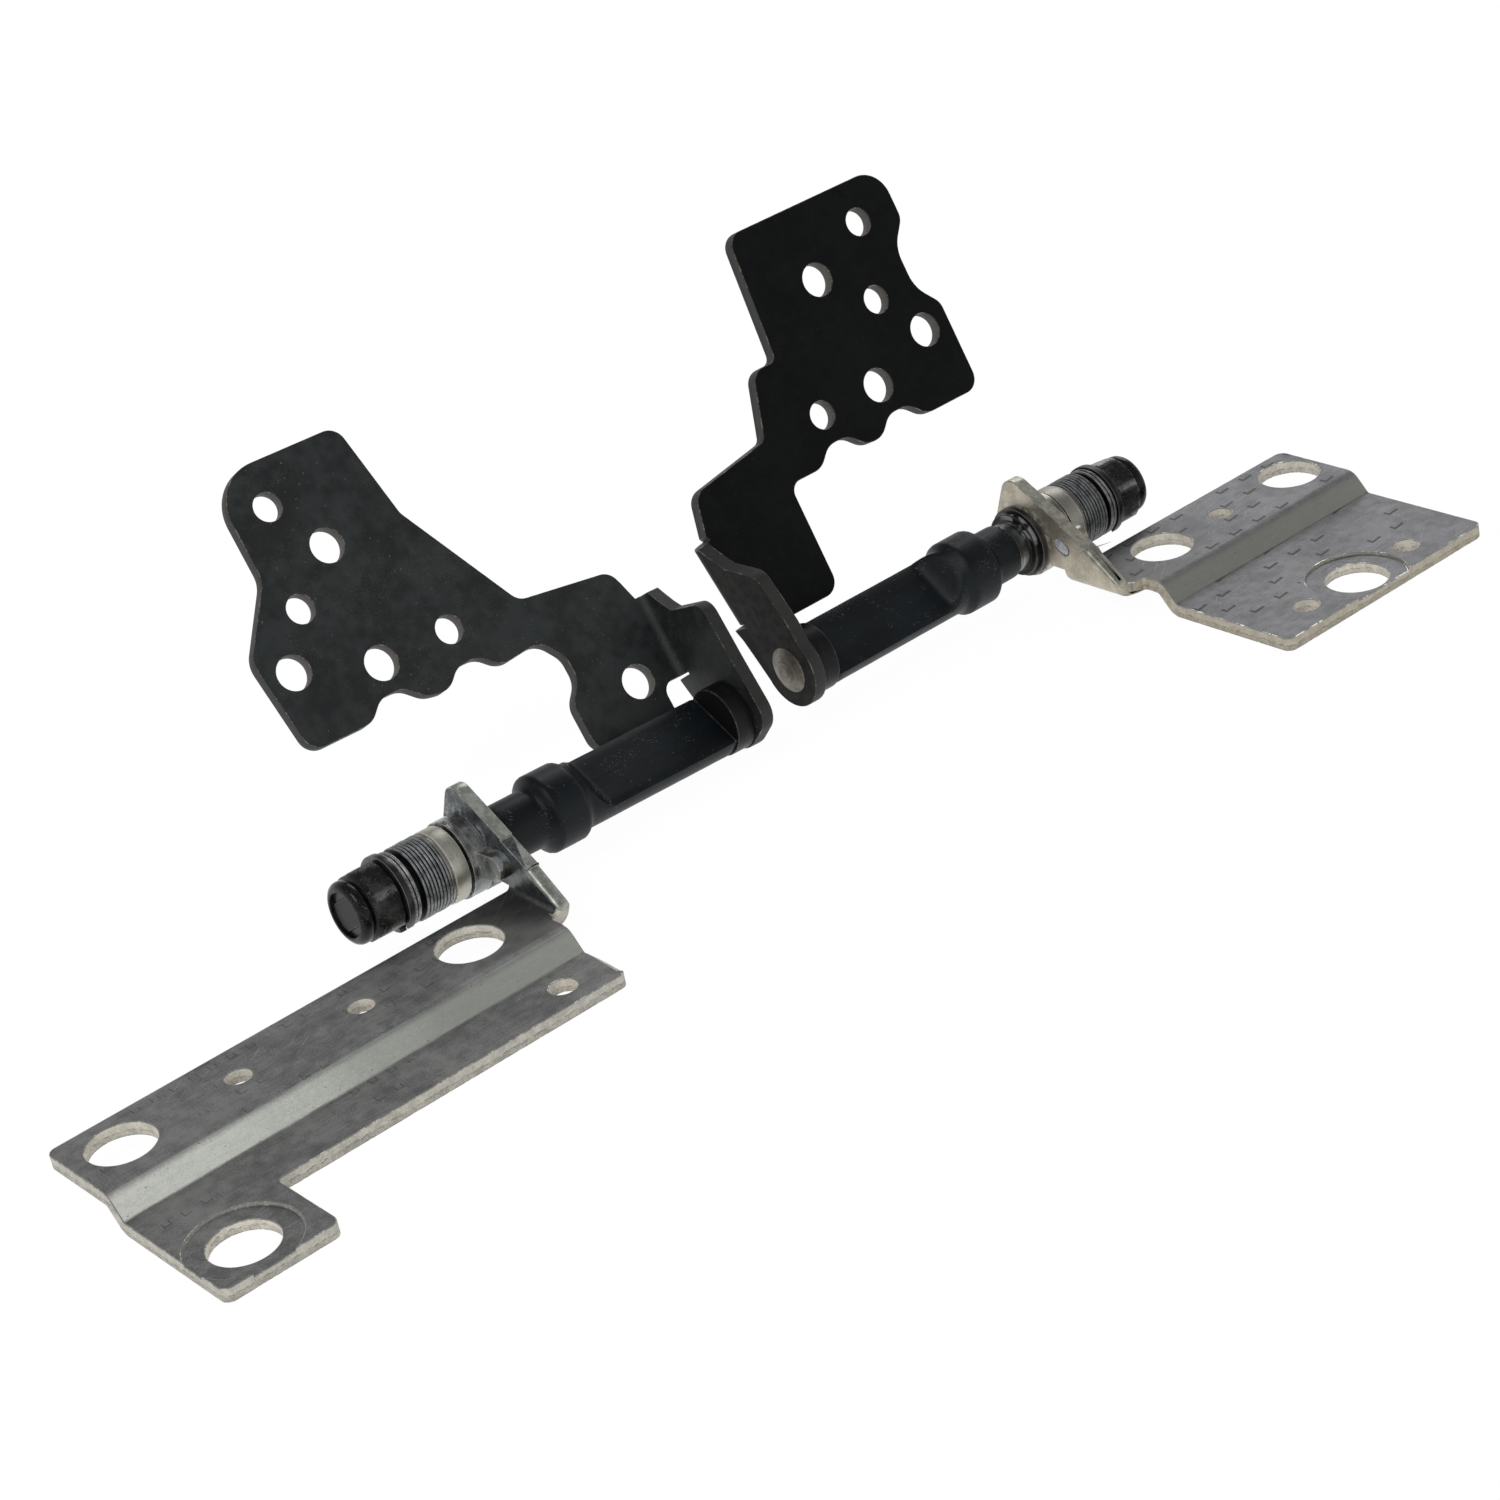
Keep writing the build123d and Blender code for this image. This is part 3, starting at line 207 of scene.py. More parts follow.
def zinc_face(name, side, dark, light, lit_slope_tones, glint, crest_shine, ear_tones, seat, marks):
    """Rolled and plated sheet: fine grain, scuffs, a burnished joggle with painted light, glints and
    highlight, painted shade at its foot and in punched marks, an ear with oil and painted shade round it.
    """
    finish, place = new_finish(name)
    start, outward = hinge_lines[side]
    y = place.part("Y")
    z = place.part("Z")
    past_ear = place.along(start + outward * EAR_OUTER, outward)
    grain = place.cloud(0.10, 3.0, (1.6, 1, 1))
    mill = place.cloud(0.11, 2.0, (26, 1, 1))
    mottle = place.cloud(6.5, 5.0) * 0.5 + place.cloud(1.2, 5.0) * 0.5
    shade = (mottle * 0.55 + grain * 0.28 + mill * 0.17).step(0.40, 0.60)
    patches = place.cloud(5.0, 2.0).step(0.42, 0.62)
    scuffs = place.scratches(0.08, 4.0, (0, 0, 0.62), 0.10)
    scuffs = scuffs.most(place.scratches(0.07, 3.0, (0, 0, -0.9), 0.09))
    scuffs = scuffs.most(place.scratches(0.06, 6.0, (0, 0, 0.08), 0.10)) * patches
    pits = place.cloud(0.30, 1.0).step(0.72, 0.77)
    smudge = place.cloud(3.2, 5.0, (1.6, 1, 1)).step(0.54, 0.74)
    slope = y.step(FOOT_Y - 0.15, FOOT_Y + 0.15) * (1 - y.step(CREST_Y - 0.40, CREST_Y + 0.30))
    far = (past_ear + (place.cloud(5.0, 3.0) - 0.5) * 8).step(10.0, 36.0)
    # Painted glints on the joggle's slope, denser towards its outer end.
    sparkle = (place.cloud(0.13, 1.0, (1.4, 1, 1)) + far * 0.05).step(0.62, 0.72)
    sparkle = sparkle * slope * (0.15 + far * 0.85) * glint
    crest_highlight = y.within(CREST_Y + 0.02, CREST_Y + 0.12, 0.10) * place.cloud(1.5, 3.0, (4, 1, 1)).step(0.40, 0.60)
    foot = y.within(FOOT_Y - 0.08, FOOT_Y + 0.02, 0.08) * place.cloud(1.2, 3.0, (3, 1, 1)).step(0.36, 0.58)
    ear = z.step(3.2, 4.2).most(1 - past_ear.step(-0.2, 0.4))
    # Darker round the ear on the upper strip: oil, and painted shade from the hinge above it.
    oil_and_shade = 1 - past_ear.step(0.5, 15.0) + (place.cloud(3.0, 4.0) - 0.5) * 1.1
    oil_and_shade = oil_and_shade.step(0.25, 0.90) * y.step(CREST_Y, CREST_Y + 0.7)
    colour = shade.tint(dark, light)
    colour = (smudge * 0.35).tint(colour, shaded(dark, 0.62))
    colour = (oil_and_shade * 0.52).tint(colour, (0.045, 0.045, 0.040, 1))
    burnish = grain * 0.4 + place.cloud(0.5, 4.0) * 0.3 + place.cloud(0.16, 2.0, (12, 1, 1)) * 0.3
    burnish = burnish.step(0.36, 0.62)
    # Painted light: the joggle's slope is coloured far lighter than the strips, lightest at its outer end, as
    # light falls on its face.
    lit_slope = far.tint(*lit_slope_tones)
    lit_slope = ((1 - burnish) * 0.22).tint(lit_slope, shaded(lit_slope_tones[0], 0.6))
    colour = (slope * 0.94).tint(colour, lit_slope)
    colour = (sparkle * 0.65).tint(colour, (0.95, 0.95, 0.90, 1))
    # Painted highlight along the crest of the joggle.
    colour = (crest_highlight * crest_shine).tint(colour, (0.60, 0.62, 0.57, 1))
    # Painted shade: a dark line in the crease at the joggle's foot.
    colour = (foot * 0.55).tint(colour, (0.06, 0.06, 0.05, 1))
    ear_shade = (place.cloud(1.5, 4.0) * 0.6 + place.cloud(0.28, 3.0) * 0.4).step(0.40, 0.62)
    colour = (ear * 0.92).tint(colour, ear_shade.tint(*ear_tones))
    colour = (scuffs * 0.40).tint(colour, (0.50, 0.50, 0.48, 1))
    colour = (pits * 0.55).tint(colour, (0.06, 0.057, 0.05, 1))
    off_seat = place.off_line(seat, (0, 0, 1))
    seat_inside = 1 - off_seat.step(4.6, 5.0)
    seat_line = off_seat.within(4.33, 4.47, 0.05) * (1 - z.step(1.3, 1.6))
    colour = (seat_line * 0.75).tint(colour, (0.035, 0.035, 0.033, 1))
    height = grain * 0.5 + mill * 0.3 + scuffs * 0.4 - pits * 0.7 + sparkle * 0.4
    punched = punched_marks(place, *marks) * (1 - slope.most(ear).most(seat_inside))
    if side == "left":
        punched = punched * place.cloud(6.0, 0.0, (1.4, 0.7, 1)).step(0.53, 0.55) * 0.5
    # The punched marks are coloured dark: painted shade in their grooves.
    colour = (punched * 0.72).tint(colour, (0.024, 0.024, 0.023, 1))
    height = height - punched * 3.0
    grease = place.off_line(start, outward).within(2.6, 3.9, 0.4)
    grease = grease * place.cloud(0.6, 3.0).step(0.50, 0.62) * ear
    colour = (grease * 0.55).tint(colour, (0.36, 0.38, 0.40, 1))
    roughness = 0.44 + mottle * 0.14 - slope * 0.08 - crest_highlight * 0.06 - ear * 0.08 - oil_and_shade * 0.06
    metallic = 0.86 - (grease * 0.5).most(slope * 0.36)
    close_finish(place, colour, roughness, metallic, height.relief(0.018, 0.55))
    return finish


def sheared_edge(name, smooth, torn, marks, metallic, upright=None):
    """Edge left by the punch: smooth and torn bands, a ragged line between; an ear's edge is plated."""
    finish, place = new_finish(name)
    fine = place.cloud(0.16, 3.0)
    blotch = place.cloud(0.8, 4.0)
    specks = place.cloud(0.20, 2.0).step(0.64, 0.72)
    colour = (fine * 0.5 + blotch * 0.5).step(0.36, 0.62).tint(shaded(smooth, 0.72), smooth)
    wobble = (place.cloud(0.7, 3.0) - 0.5) * 0.5
    line = place.part("Z") * 0
    for point, normal in marks:
        above = place.along(point, normal) + wobble
        band = above.within(-0.75, 0.0, 0.06)
        ragged = (fine * 0.6 + blotch * 0.4).step(0.40, 0.60).tint(shaded(torn, 0.6), torn)
        colour = (band * 0.65).tint(colour, ragged)
        line = line.most((1 - abs(above).step(0.015, 0.07)) * place.cloud(0.5, 2.0).step(0.40, 0.58))
    colour = (line * 0.55).tint(colour, shaded(torn, 0.25))
    colour = (specks * 0.40).tint(colour, shaded(torn, 0.35))
    rough = 0.50
    if upright:
        ear = place.part("Z").step(3.1, 3.6)
        plated = (fine * 0.3 + blotch * 0.7).step(0.38, 0.62).tint(shaded(upright, 0.6), upright)
        colour = ear.tint(colour, plated)
        metallic = metallic + ear * (0.9 - metallic)
        rough = 0.50 - ear * 0.18
    height = fine * 0.8 + blotch * 0.6 - line * 0.8 - specks * 0.5
    close_finish(place, colour, fine * 0.2 + rough, metallic, height.relief(0.03, 0.6))
    return finish


def rubbed_rim(name, coat, bare, share, metallic):
    """Rounded rim of a pressed piece, where handling has rubbed its coat thin."""
    finish, place = new_finish(name)
    worn = (place.cloud(1.1, 4.0) * 0.6 + place.cloud(0.2, 2.0) * 0.4).step(0.62 - share, 0.74 - share)
    close_finish(place, worn.tint(coat, bare), 0.46 - worn * 0.12, worn * metallic, worn.relief(0.01, 0.4))
    return finish


def thickness_under(face, tree):
    """How far the metal goes on behind a face."""
    start = face.calc_center_median() - face.normal * 1e-5
    hit = tree.ray_cast(start, -face.normal)
    return hit[3] + 1e-5 if hit[3] is not None else 1.0


def faces_across(face, tree):
    """Whether a face looks across a hole at its opposite wall."""
    hit = tree.ray_cast(face.calc_center_median() + face.normal * 1e-5, face.normal)
    return hit[3] is not None and hit[3] < 7 * MM


def sharp_edges(shell, degrees):
    """The edges of a shell where its faces turn by more than so many degrees."""
    return [e for e in shell.edges if e.is_manifold and e.calc_face_angle() > math.radians(degrees)]


SEAM_GAP = 0.05
ROLLED_ROUND = 0.45


def dressed(node, name, finishes, rim, segments=2, is_edge=None, soft=None, sharp=32):
    """A copy of a solid, its edges rounded by rim mm; the finishes are face, edge, hole wall and rim."""
    mesh = frame["nodes"][node].data.copy()
    mesh.name = name
    if "custom_normal" in mesh.attributes:
        mesh.attributes.remove(mesh.attributes["custom_normal"])
    mesh.materials.clear()
    for finish in finishes:
        mesh.materials.append(finish)
    shell = bmesh.new()
    shell.from_mesh(mesh)
    bmesh.ops.remove_doubles(shell, verts=shell.verts, dist=SEAM_GAP * MM)
    shell.normal_update()
    tree = BVHTree.FromBMesh(shell)
    for face in shell.faces:
        if is_edge and is_edge(face, tree):
            face.material_index = 2 if faces_across(face, tree) else 1
    bmesh.ops.dissolve_limit(shell, angle_limit=math.radians(0.4), verts=shell.verts, edges=shell.edges,
                             delimit={"MATERIAL"})
    if soft:
        rolled = [e for e in sharp_edges(shell, 50) if soft(e)]
        bmesh.ops.bevel(shell, geom=rolled, offset=ROLLED_ROUND * MM, segments=5, profile=0.5, affect="EDGES",
                        clamp_overlap=False, loop_slide=True, material=1)
        shell.normal_update()
    bmesh.ops.bevel(shell, geom=sharp_edges(shell, sharp), offset=rim * MM, segments=segments, profile=0.6,
                    affect="EDGES", clamp_overlap=False, loop_slide=True, material=len(finishes) - 1)
    for face in shell.faces:
        face.smooth = True
    shell.to_mesh(mesh)
    shell.free()
    mesh.set_sharp_from_angle(angle=math.radians(40))
    piece = bpy.data.objects.new(name, mesh)
    bpy.context.scene.collection.objects.link(piece)
    flat = piece.modifiers.new("flat_faces_stay_flat", "WEIGHTED_NORMAL")
    flat.keep_sharp = True
    bpy.context.view_layer.update()
    seen = piece.evaluated_get(bpy.context.evaluated_depsgraph_get())
    piece.data = bpy.data.meshes.new_from_object(seen)
    piece.modifiers.remove(flat)
    bpy.data.meshes.remove(mesh)
    piece.data.name = name
    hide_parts(node)
    return piece


def near_ear(place):
    """Whether a place lies in the upright ear or its bend."""
    low, high = EAR_ZONE
    return any(low < (place - start).dot(outward) < high for start, outward in hinge_lines.values())


def strip_edge(face, tree):
    """Whether a face of a base bracket is a sheared edge or a hole's wall."""
    middle = face.calc_center_median() / MM
    if middle.z < 3.05 and not near_ear(middle):
        return abs(face.normal.z) < 0.35
    return thickness_under(face, tree) > SHEET * 1.25 * MM


def rolled_root(edge):
    """Whether an edge belongs to the lower front of an ear, which the fold has rolled over."""
    middle = (edge.verts[0].co + edge.verts[1].co) / (2 * MM)
    return near_ear(middle) and middle.y < -6.2


CREST_Y = -11.27
FOOT_Y = -12.82
zinc_marks = [((0, 0, 0.5), (0, 0, 1)), ((0, 0, 2.3), (0, 0, 1))]
zinc_edges = {
    "left": sheared_edge("zinc_left_edge", (0.64, 0.615, 0.545, 1), (0.52, 0.495, 0.43, 1), zinc_marks, 0.5,
                         (0.44, 0.46, 0.41, 1)),
    "right": sheared_edge("zinc_right_edge", (0.58, 0.535, 0.435, 1), (0.47, 0.43, 0.34, 1), zinc_marks, 0.5,
                          (0.44, 0.43, 0.36, 1)),
}
# Hole walls get a lighter copy of the edge tones: painted light, as light bounces inside the holes.
lit_zinc_walls = sheared_edge("lit_zinc_hole_wall", (0.86, 0.82, 0.72, 1), (0.74, 0.69, 0.59, 1), zinc_marks, 0.2)
zinc_rim = rubbed_rim("zinc_rim", (0.22, 0.216, 0.20, 1), (0.58, 0.56, 0.50, 1), 0.13, 0.9)
base_faces = {
    "left": zinc_face("zinc_left", "left", dark=(0.125, 0.128, 0.125, 1), light=(0.265, 0.268, 0.260, 1),
                      lit_slope_tones=((0.44, 0.46, 0.41, 1), (0.92, 0.94, 0.86, 1)), glint=1.0, crest_shine=0.45,
                      ear_tones=((0.060, 0.067, 0.074, 1), (0.190, 0.202, 0.210, 1)),
                      seat=(-62.09, -22.02, 0), marks=(1.7, 2.4, 0.15, 0.62, 1.0)),
    "right": zinc_face("zinc_right", "right", dark=(0.100, 0.101, 0.105, 1), light=(0.200, 0.201, 0.206, 1),
                       lit_slope_tones=((0.28, 0.285, 0.250, 1), (0.31, 0.315, 0.28, 1)), glint=0.1,
                       crest_shine=0.10, ear_tones=((0.40, 0.365, 0.29, 1), (0.56, 0.51, 0.41, 1)),
                       seat=(53.39, -22.72, 0), marks=(3.0, 2.3, 0.25, 0.55, 0.0)),
}
for side, face in base_faces.items():
    finishes = (face, zinc_edges[side], lit_zinc_walls, zinc_rim)
    bracket = dressed(side + "_base_bracket", side + "_base_strip", finishes, 0.08,
                      is_edge=strip_edge, soft=rolled_root)
    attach(bracket, "base_brackets")


# Fixed cams. A sintered ring on the outside of each ear, with an arm whose lug sits in the ear's slot
# so that it can't turn; two raised sectors face the moving cam. It is bare steel under a film of grease,
# white and thick in the slot, bluish and thin round the ring.
def cam_finish(name, side, dark, light, film, film_share, lug_tone):
    """Sintered steel with fine turning lines, oil in its pores, a film of grease and a greased lug."""
    finish, place = new_finish(name)
    start, outward = hinge_lines[side]
    reach = place.along(start, outward)
    lines = reach.turning_lines(9.0, 2.0)
    pores = place.cloud(0.16, 2.0)
    blot = place.cloud(1.6, 4.0)
    smear = place.cloud(1.5, 3.0, (1, 1, 1.6)).step(0.60 - film_share, 0.78 - film_share)
    arm = place.part("Y").within(-4.4, -1.2, 0.3) * place.cloud(0.8, 3.0).step(0.48, 0.62)
    lug = 1 - reach.step(28.3, 28.7)
    colour = (lines * 0.4 + blot * 0.6).step(0.35, 0.65).tint(dark, light)
    colour = (pores.step(0.58, 0.7) * 0.40).tint(colour, shaded(dark, 0.35))
    colour = (smear * 0.8).tint(colour, film)
    colour = (arm * 0.5).tint(colour, (0.34, 0.315, 0.25, 1))
    packed = place.cloud(0.7, 3.0).step(0.40, 0.62).tint(shaded(lug_tone, 0.55), lug_tone)
    colour = (lug * 0.9).tint(colour, packed)
    roughness = 0.22 + pores * 0.10 - smear * 0.08
    height = lines * 0.4 + pores * 0.4 + smear * 2.4 + blot * 2.6
    metallic = 0.9 - (smear * 0.6).most(lug * 0.85)
    close_finish(place, colour, roughness, metallic, height.relief(0.025, 0.6))
    return finish


steel_rim = rubbed_rim("steel_rim", (0.20, 0.19, 0.165, 1), (0.60, 0.58, 0.52, 1), 0.14, 0.95)
fixed_faces = {
    "left": cam_finish("left_greased_cam", "left", (0.12, 0.122, 0.116, 1), (0.34, 0.34, 0.315, 1),
                       (0.24, 0.275, 0.30, 1), 0.16, (0.10, 0.10, 0.10, 1)),
    "right": cam_finish("right_greased_cam", "right", (0.14, 0.135, 0.118, 1), (0.28, 0.268, 0.235, 1),
                        (0.22, 0.222, 0.215, 1), 0.10, (0.58, 0.60, 0.64, 1)),
}
for side, face in fixed_faces.items():
    cam = dressed(side + "_fixed_cam", side + "_cam_ring", (face, steel_rim), 0.07)
    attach(cam, "base_brackets")


# Shafts. Turned from bar: a head peened over the tab, a flange, a half-round length, a collar, a journal
# through the ear and a flattened stem under the nut. Black oxide covers all but the burnished head
# and the bare neck that the sleeve leaves open.
def shaft_finish(name, side, neck_start):
    finish, place = new_finish(name)
    start, outward = hinge_lines[side]
    reach = place.along(start, outward)
    radius = place.off_line(start, outward)
    lines = reach.turning_lines(7.0, 3.0)
    rings = radius.turning_lines(6.0, 3.0)
    blot = place.cloud(0.9, 4.0)
    dents = place.cloud(0.22, 2.0)
    head = 1 - reach.step(0.0, 0.05)
    neck = reach.within(neck_start, 26.3, 0.06)
    worn = (blot * 0.6 + lines * 0.4).step(0.56, 0.70)
    colour = (worn * 0.6).tint((0.008, 0.008, 0.008, 1), (0.050, 0.047, 0.042, 1))
    burnished = (rings * 0.5 + blot * 0.5).step(0.36, 0.66)
    burnished = burnished.tint((0.15, 0.135, 0.115, 1), (0.29, 0.265, 0.23, 1))
    colour = head.tint(colour, burnished)
    colour = (dents.step(0.62, 0.72) * head * 0.5).tint(colour, (0.06, 0.052, 0.045, 1))
    bare_neck = lines.step(0.36, 0.62).tint((0.12, 0.118, 0.110, 1), (0.32, 0.315, 0.295, 1))
    colour = neck.tint(colour, bare_neck)
    grease = reach.within(25.8, 27.05, 0.1) * place.cloud(1.6, 2.0).step(0.44, 0.52)
    grease = grease * place.along(start, (0, -0.6, 0.8)).step(0.8, 2.0)
    grease_tone = (0.34, 0.36, 0.39, 1) if side == "right" else (0.05, 0.053, 0.056, 1)
    colour = (grease * 0.7).tint(colour, grease_tone)
    film = neck * place.along(start, (0, -0.2, 0.98)).step(-0.4, 1.2)
    colour = (film * 0.85).tint(colour, (0.040, 0.044, 0.050, 1))
    metallic = (0.35 + head * 0.55).most(neck * 0.95) * (1 - grease)
    height = lines * 0.4 + dents * (0.4 + head) + grease * 0.6
    roughness = 0.36 - neck * 0.08 + dents * 0.08 + head * 0.12
    close_finish(place, colour, roughness, metallic, height.relief(0.016, 0.6), IOR=1.3)
    return finish


for side, neck_start in (("left", 26.3), ("right", 25.0)):
    black_rim = rubbed_rim(side + "_shaft_rim", (0.010, 0.010, 0.010, 1), (0.13, 0.122, 0.108, 1), 0.10, 0.8)
    shaft_skin = shaft_finish(side + "_black_shaft", side, neck_start)
    shaft = dressed(side + "_shaft", side + "_turned_shaft", (shaft_skin, black_rim), 0.10)
    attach(shaft, side + "_lid_bracket")


# Shrink sleeves. A thin black plastic tube shrunk over the half-round length, the collar and the neck, so
# its corners are soft and its mouth by the ear is ragged. It keeps the screen's cable off the steel and
# shows small white scuffs.
SLEEVE_START = 3.35
SLEEVE_MOUTH = {"left": 26.3, "right": 25.15}
SLEEVE_WALL = 0.2
FLAT_RISE = 0.57
TUBE_RADII = ((0.0, 2.90), (18.3, 2.90), (19.1, 3.40), (21.7, 3.40), (22.65, 2.52), (40.0, 2.52))
FLAT_TURN = {"left": 27.0, "right": 34.5}


def soft_step(low, high, value):
    share = min(1.0, max(0.0, (value - low) / (high - low)))
    return share * share * (3 - 2 * share)


def tube_radius(reach):
    """Round radius of the sleeve at a distance from the tab."""
    for (low, first), (high, last) in zip(TUBE_RADII, TUBE_RADII[1:]):
        if reach <= high:
            return first + (last - first) * soft_step(low, high, reach)
    return TUBE_RADII[-1][1]


def sleeve_radius(reach, angle):
    """Radius of the sleeve, flat on the half-round's side, with softly drawn corners."""
    radius = tube_radius(reach)
    rise = FLAT_RISE + 3.4 * soft_step(16.2, 19.6, reach)
    if math.cos(angle) > 0.05:
        flat = rise / math.cos(angle)
        blend = max(0.0, 1 - abs(radius - flat) / 0.6)
        radius = min(radius, flat) - 0.6 * blend * blend * 0.25
    return radius


def sleeve_mesh(name, side):
    start, outward = hinge_lines[side]
    turn = math.radians(FLAT_TURN[side])
    up = Vector((-outward.z, 0, outward.x)) * (1 if side == "right" else -1)
    back = Vector((0, 1, 0))
    shell = bmesh.new()
    stations = 96
    around = 120
    rows = []
    for wall in (0.0, SLEEVE_WALL):
        for index in range(stations + 1):
            row = []
            for step in range(around):
                angle = 2 * math.pi * step / around
                ragged = abs(noise.noise(Vector((math.cos(angle) * 2.6, math.sin(angle) * 2.6, 4.0))))
                mouth = SLEEVE_MOUTH[side] - 0.45 * ragged
                share = index / stations
                reach = SLEEVE_START + (mouth - SLEEVE_START) * share
                waves = Vector((reach * 0.8, math.cos(angle) * 1.5, math.sin(angle) * 1.5))
                ripple = 0.012 * noise.noise(waves)
                lip = 0.07 * (soft_step(0.985, 1.0, share) + 1 - soft_step(0.0, 0.012, share))
                radius = sleeve_radius(reach, angle) + ripple - (lip if wall == 0.0 else wall - 0.02)
                across = -math.sin(angle + turn) * radius
                rise = math.cos(angle + turn) * radius
                row.append(shell.verts.new((start + outward * reach + back * across + up * rise) * MM))
            rows.append(row)
    loop = rows[:stations + 1] + rows[:stations:-1]
    for first, second in zip(loop, loop[1:] + loop[:1]):
        for step in range(around):
            after = (step + 1) % around
            shell.faces.new((first[step], second[step], second[after], first[after])).smooth = True
    bmesh.ops.recalc_face_normals(shell, faces=shell.faces)
    mesh = bpy.data.meshes.new(name)
    shell.to_mesh(mesh)
    shell.free()
    mesh.set_sharp_from_angle(angle=math.radians(50))
    return mesh


def sleeve_finish(name):
    finish, place = new_finish(name)
    pebble = place.cloud(0.10, 2.0)
    flow = place.cloud(2.4, 4.0, (3, 1, 1))
    scuffs = place.scratches(0.08, 1.6, (0.4, 0.3, 0.9), 0.11)
    scuffs = scuffs.most(place.scratches(0.07, 2.6, (0.1, 0.5, -0.5), 0.105))
    scuffs = scuffs * place.cloud(2.0, 2.0).step(0.52, 0.64)
    dust = place.cloud(0.22, 1.0).step(0.73, 0.77)
    colour = flow.step(0.35, 0.65).tint((0.0022, 0.0040, 0.0052, 1), (0.0054, 0.0086, 0.0106, 1))
    colour = (scuffs * 0.75).tint(colour, (0.20, 0.215, 0.23, 1))
    colour = (dust * 0.35).tint(colour, (0.16, 0.17, 0.175, 1))
    height = pebble * 0.4 + flow * 0.8 + scuffs * 0.5
    close_finish(place, colour, 0.38 + flow * 0.14 + scuffs * 0.1, 0.0, height.relief(0.02, 0.5), IOR=1.29)
    return finish


for side in hinge_lines:
    sleeve_skin = sleeve_mesh(side + "_shrunk_tube", side)
    sleeve_skin.materials.append(sleeve_finish(side + "_sleeve_plastic"))
    sleeve = bpy.data.objects.new(side + "_shrunk_tube", sleeve_skin)
    bpy.context.scene.collection.objects.link(sleeve)
    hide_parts(side + "_shrink_sleeve")
    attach(sleeve, side + "_lid_bracket")


# Washers and moving cams. Stamped and turned steel rings threaded on the flattened stem: a friction washer
# inside the ear, and outside it the moving cam, its washer, a dark spacer and a tabbed washer under the nut.
# Oil darkens their faces and the rims are bright.
def ring_finish(name, side, dark, light, rough):
    finish, place = new_finish(name)
    start, outward = hinge_lines[side]
    reach = place.along(start, outward)
    radius = place.off_line(start, outward)
    lines = reach.turning_lines(11.0, 2.0)
    rings = radius.turning_lines(8.0, 2.0)
    blot = place.cloud(1.0, 4.0)
    pores = place.cloud(0.18, 2.0).step(0.60, 0.72)
    shade = (lines * 0.35 + rings * 0.25 + blot * 0.4).step(0.38, 0.62)
    colour = (pores * 0.4).tint(shade.tint(dark, light), shaded(dark, 0.3))
    height = lines * 0.6 + rings * 0.4 - pores * 0.4
    close_finish(place, colour, rough + blot * 0.14, 0.92, height.relief(0.014, 0.6))
    return finish


ring_tones = {
    "inner_washer": ((0.040, 0.040, 0.038, 1), (0.13, 0.125, 0.115, 1), 0.30, "washer_steel", 0.06),
    "moving_cam": ((0.42, 0.41, 0.355, 1), (0.52, 0.51, 0.445, 1), 0.36, "cam_steel", 0.07),
    "cam_washer": ((0.16, 0.155, 0.135, 1), (0.30, 0.29, 0.255, 1), 0.30, "washer_steel", 0.05),
    "spacer_ring": ((0.008, 0.008, 0.008, 1), (0.025, 0.025, 0.025, 1), 0.42, "black_steel", 0.04),
    "tab_washer": ((0.035, 0.036, 0.037, 1), (0.11, 0.112, 0.112, 1), 0.30, "washer_steel", 0.06),
}
# The right hinge's ring tones are the left's, made darker by the share given.
for side, side_share in (("left", 1.0), ("right", 0.60)):
    for ring, (dark, light, rough, slot, rim) in ring_tones.items():
        dark = shaded(dark, side_share)
        light = shaded(light, side_share)
        face = ring_finish(side + "_" + ring + "_steel", side, dark, light, rough)
        bare = tuple(min(0.8, c * 1.8) for c in light[:3]) + (1,)
        edge = rubbed_rim(side + "_" + ring + "_rim", light, bare, 0.14, 0.95)
        piece = dressed(side + "_" + ring, side + "_" + ring + "_turned", (face, edge), rim)
        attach(piece, side + "_lid_bracket")


# Disc springs and thrust washers. Eight thin sprung-steel discs, stacked on the stem, press the cams
# together; two plain hard washers follow them. They are blanked from strip and tumbled, and sit
# a little off centre on the stem.
def disc_mesh(name, outer, bore, thick, cone):
    """One coned disc about the X axis with rounded lips, centred on its middle."""
    half = thick / 2
    lip = thick * 0.32
    near_side = [(-half, bore), (-half, outer - lip), (-half + lip * 0.4, outer - lip * 0.35),
                 (-half + lip, outer)]
    outline = near_side + [(-depth, radius) for depth, radius in reversed(near_side)]
    around = 96
    shell = bmesh.new()
    rows = []
    for depth, radius in outline:
        lean = cone * ((radius - bore) / (outer - bore) - 0.5)
        row = []
        for step in range(around):
            angle = 2 * math.pi * step / around
            spot = Vector((depth + lean, radius * math.cos(angle), radius * math.sin(angle)))
            row.append(shell.verts.new(spot * MM))
        rows.append(row)
    for first, second in zip(rows, rows[1:] + rows[:1]):
        for step in range(around):
            after = (step + 1) % around
            shell.faces.new((first[step], second[step], second[after], first[after])).smooth = True
    bmesh.ops.recalc_face_normals(shell, faces=shell.faces)
    mesh = bpy.data.meshes.new(name)
    shell.to_mesh(mesh)
    shell.free()
    mesh.set_sharp_from_angle(angle=math.radians(35))
    return mesh


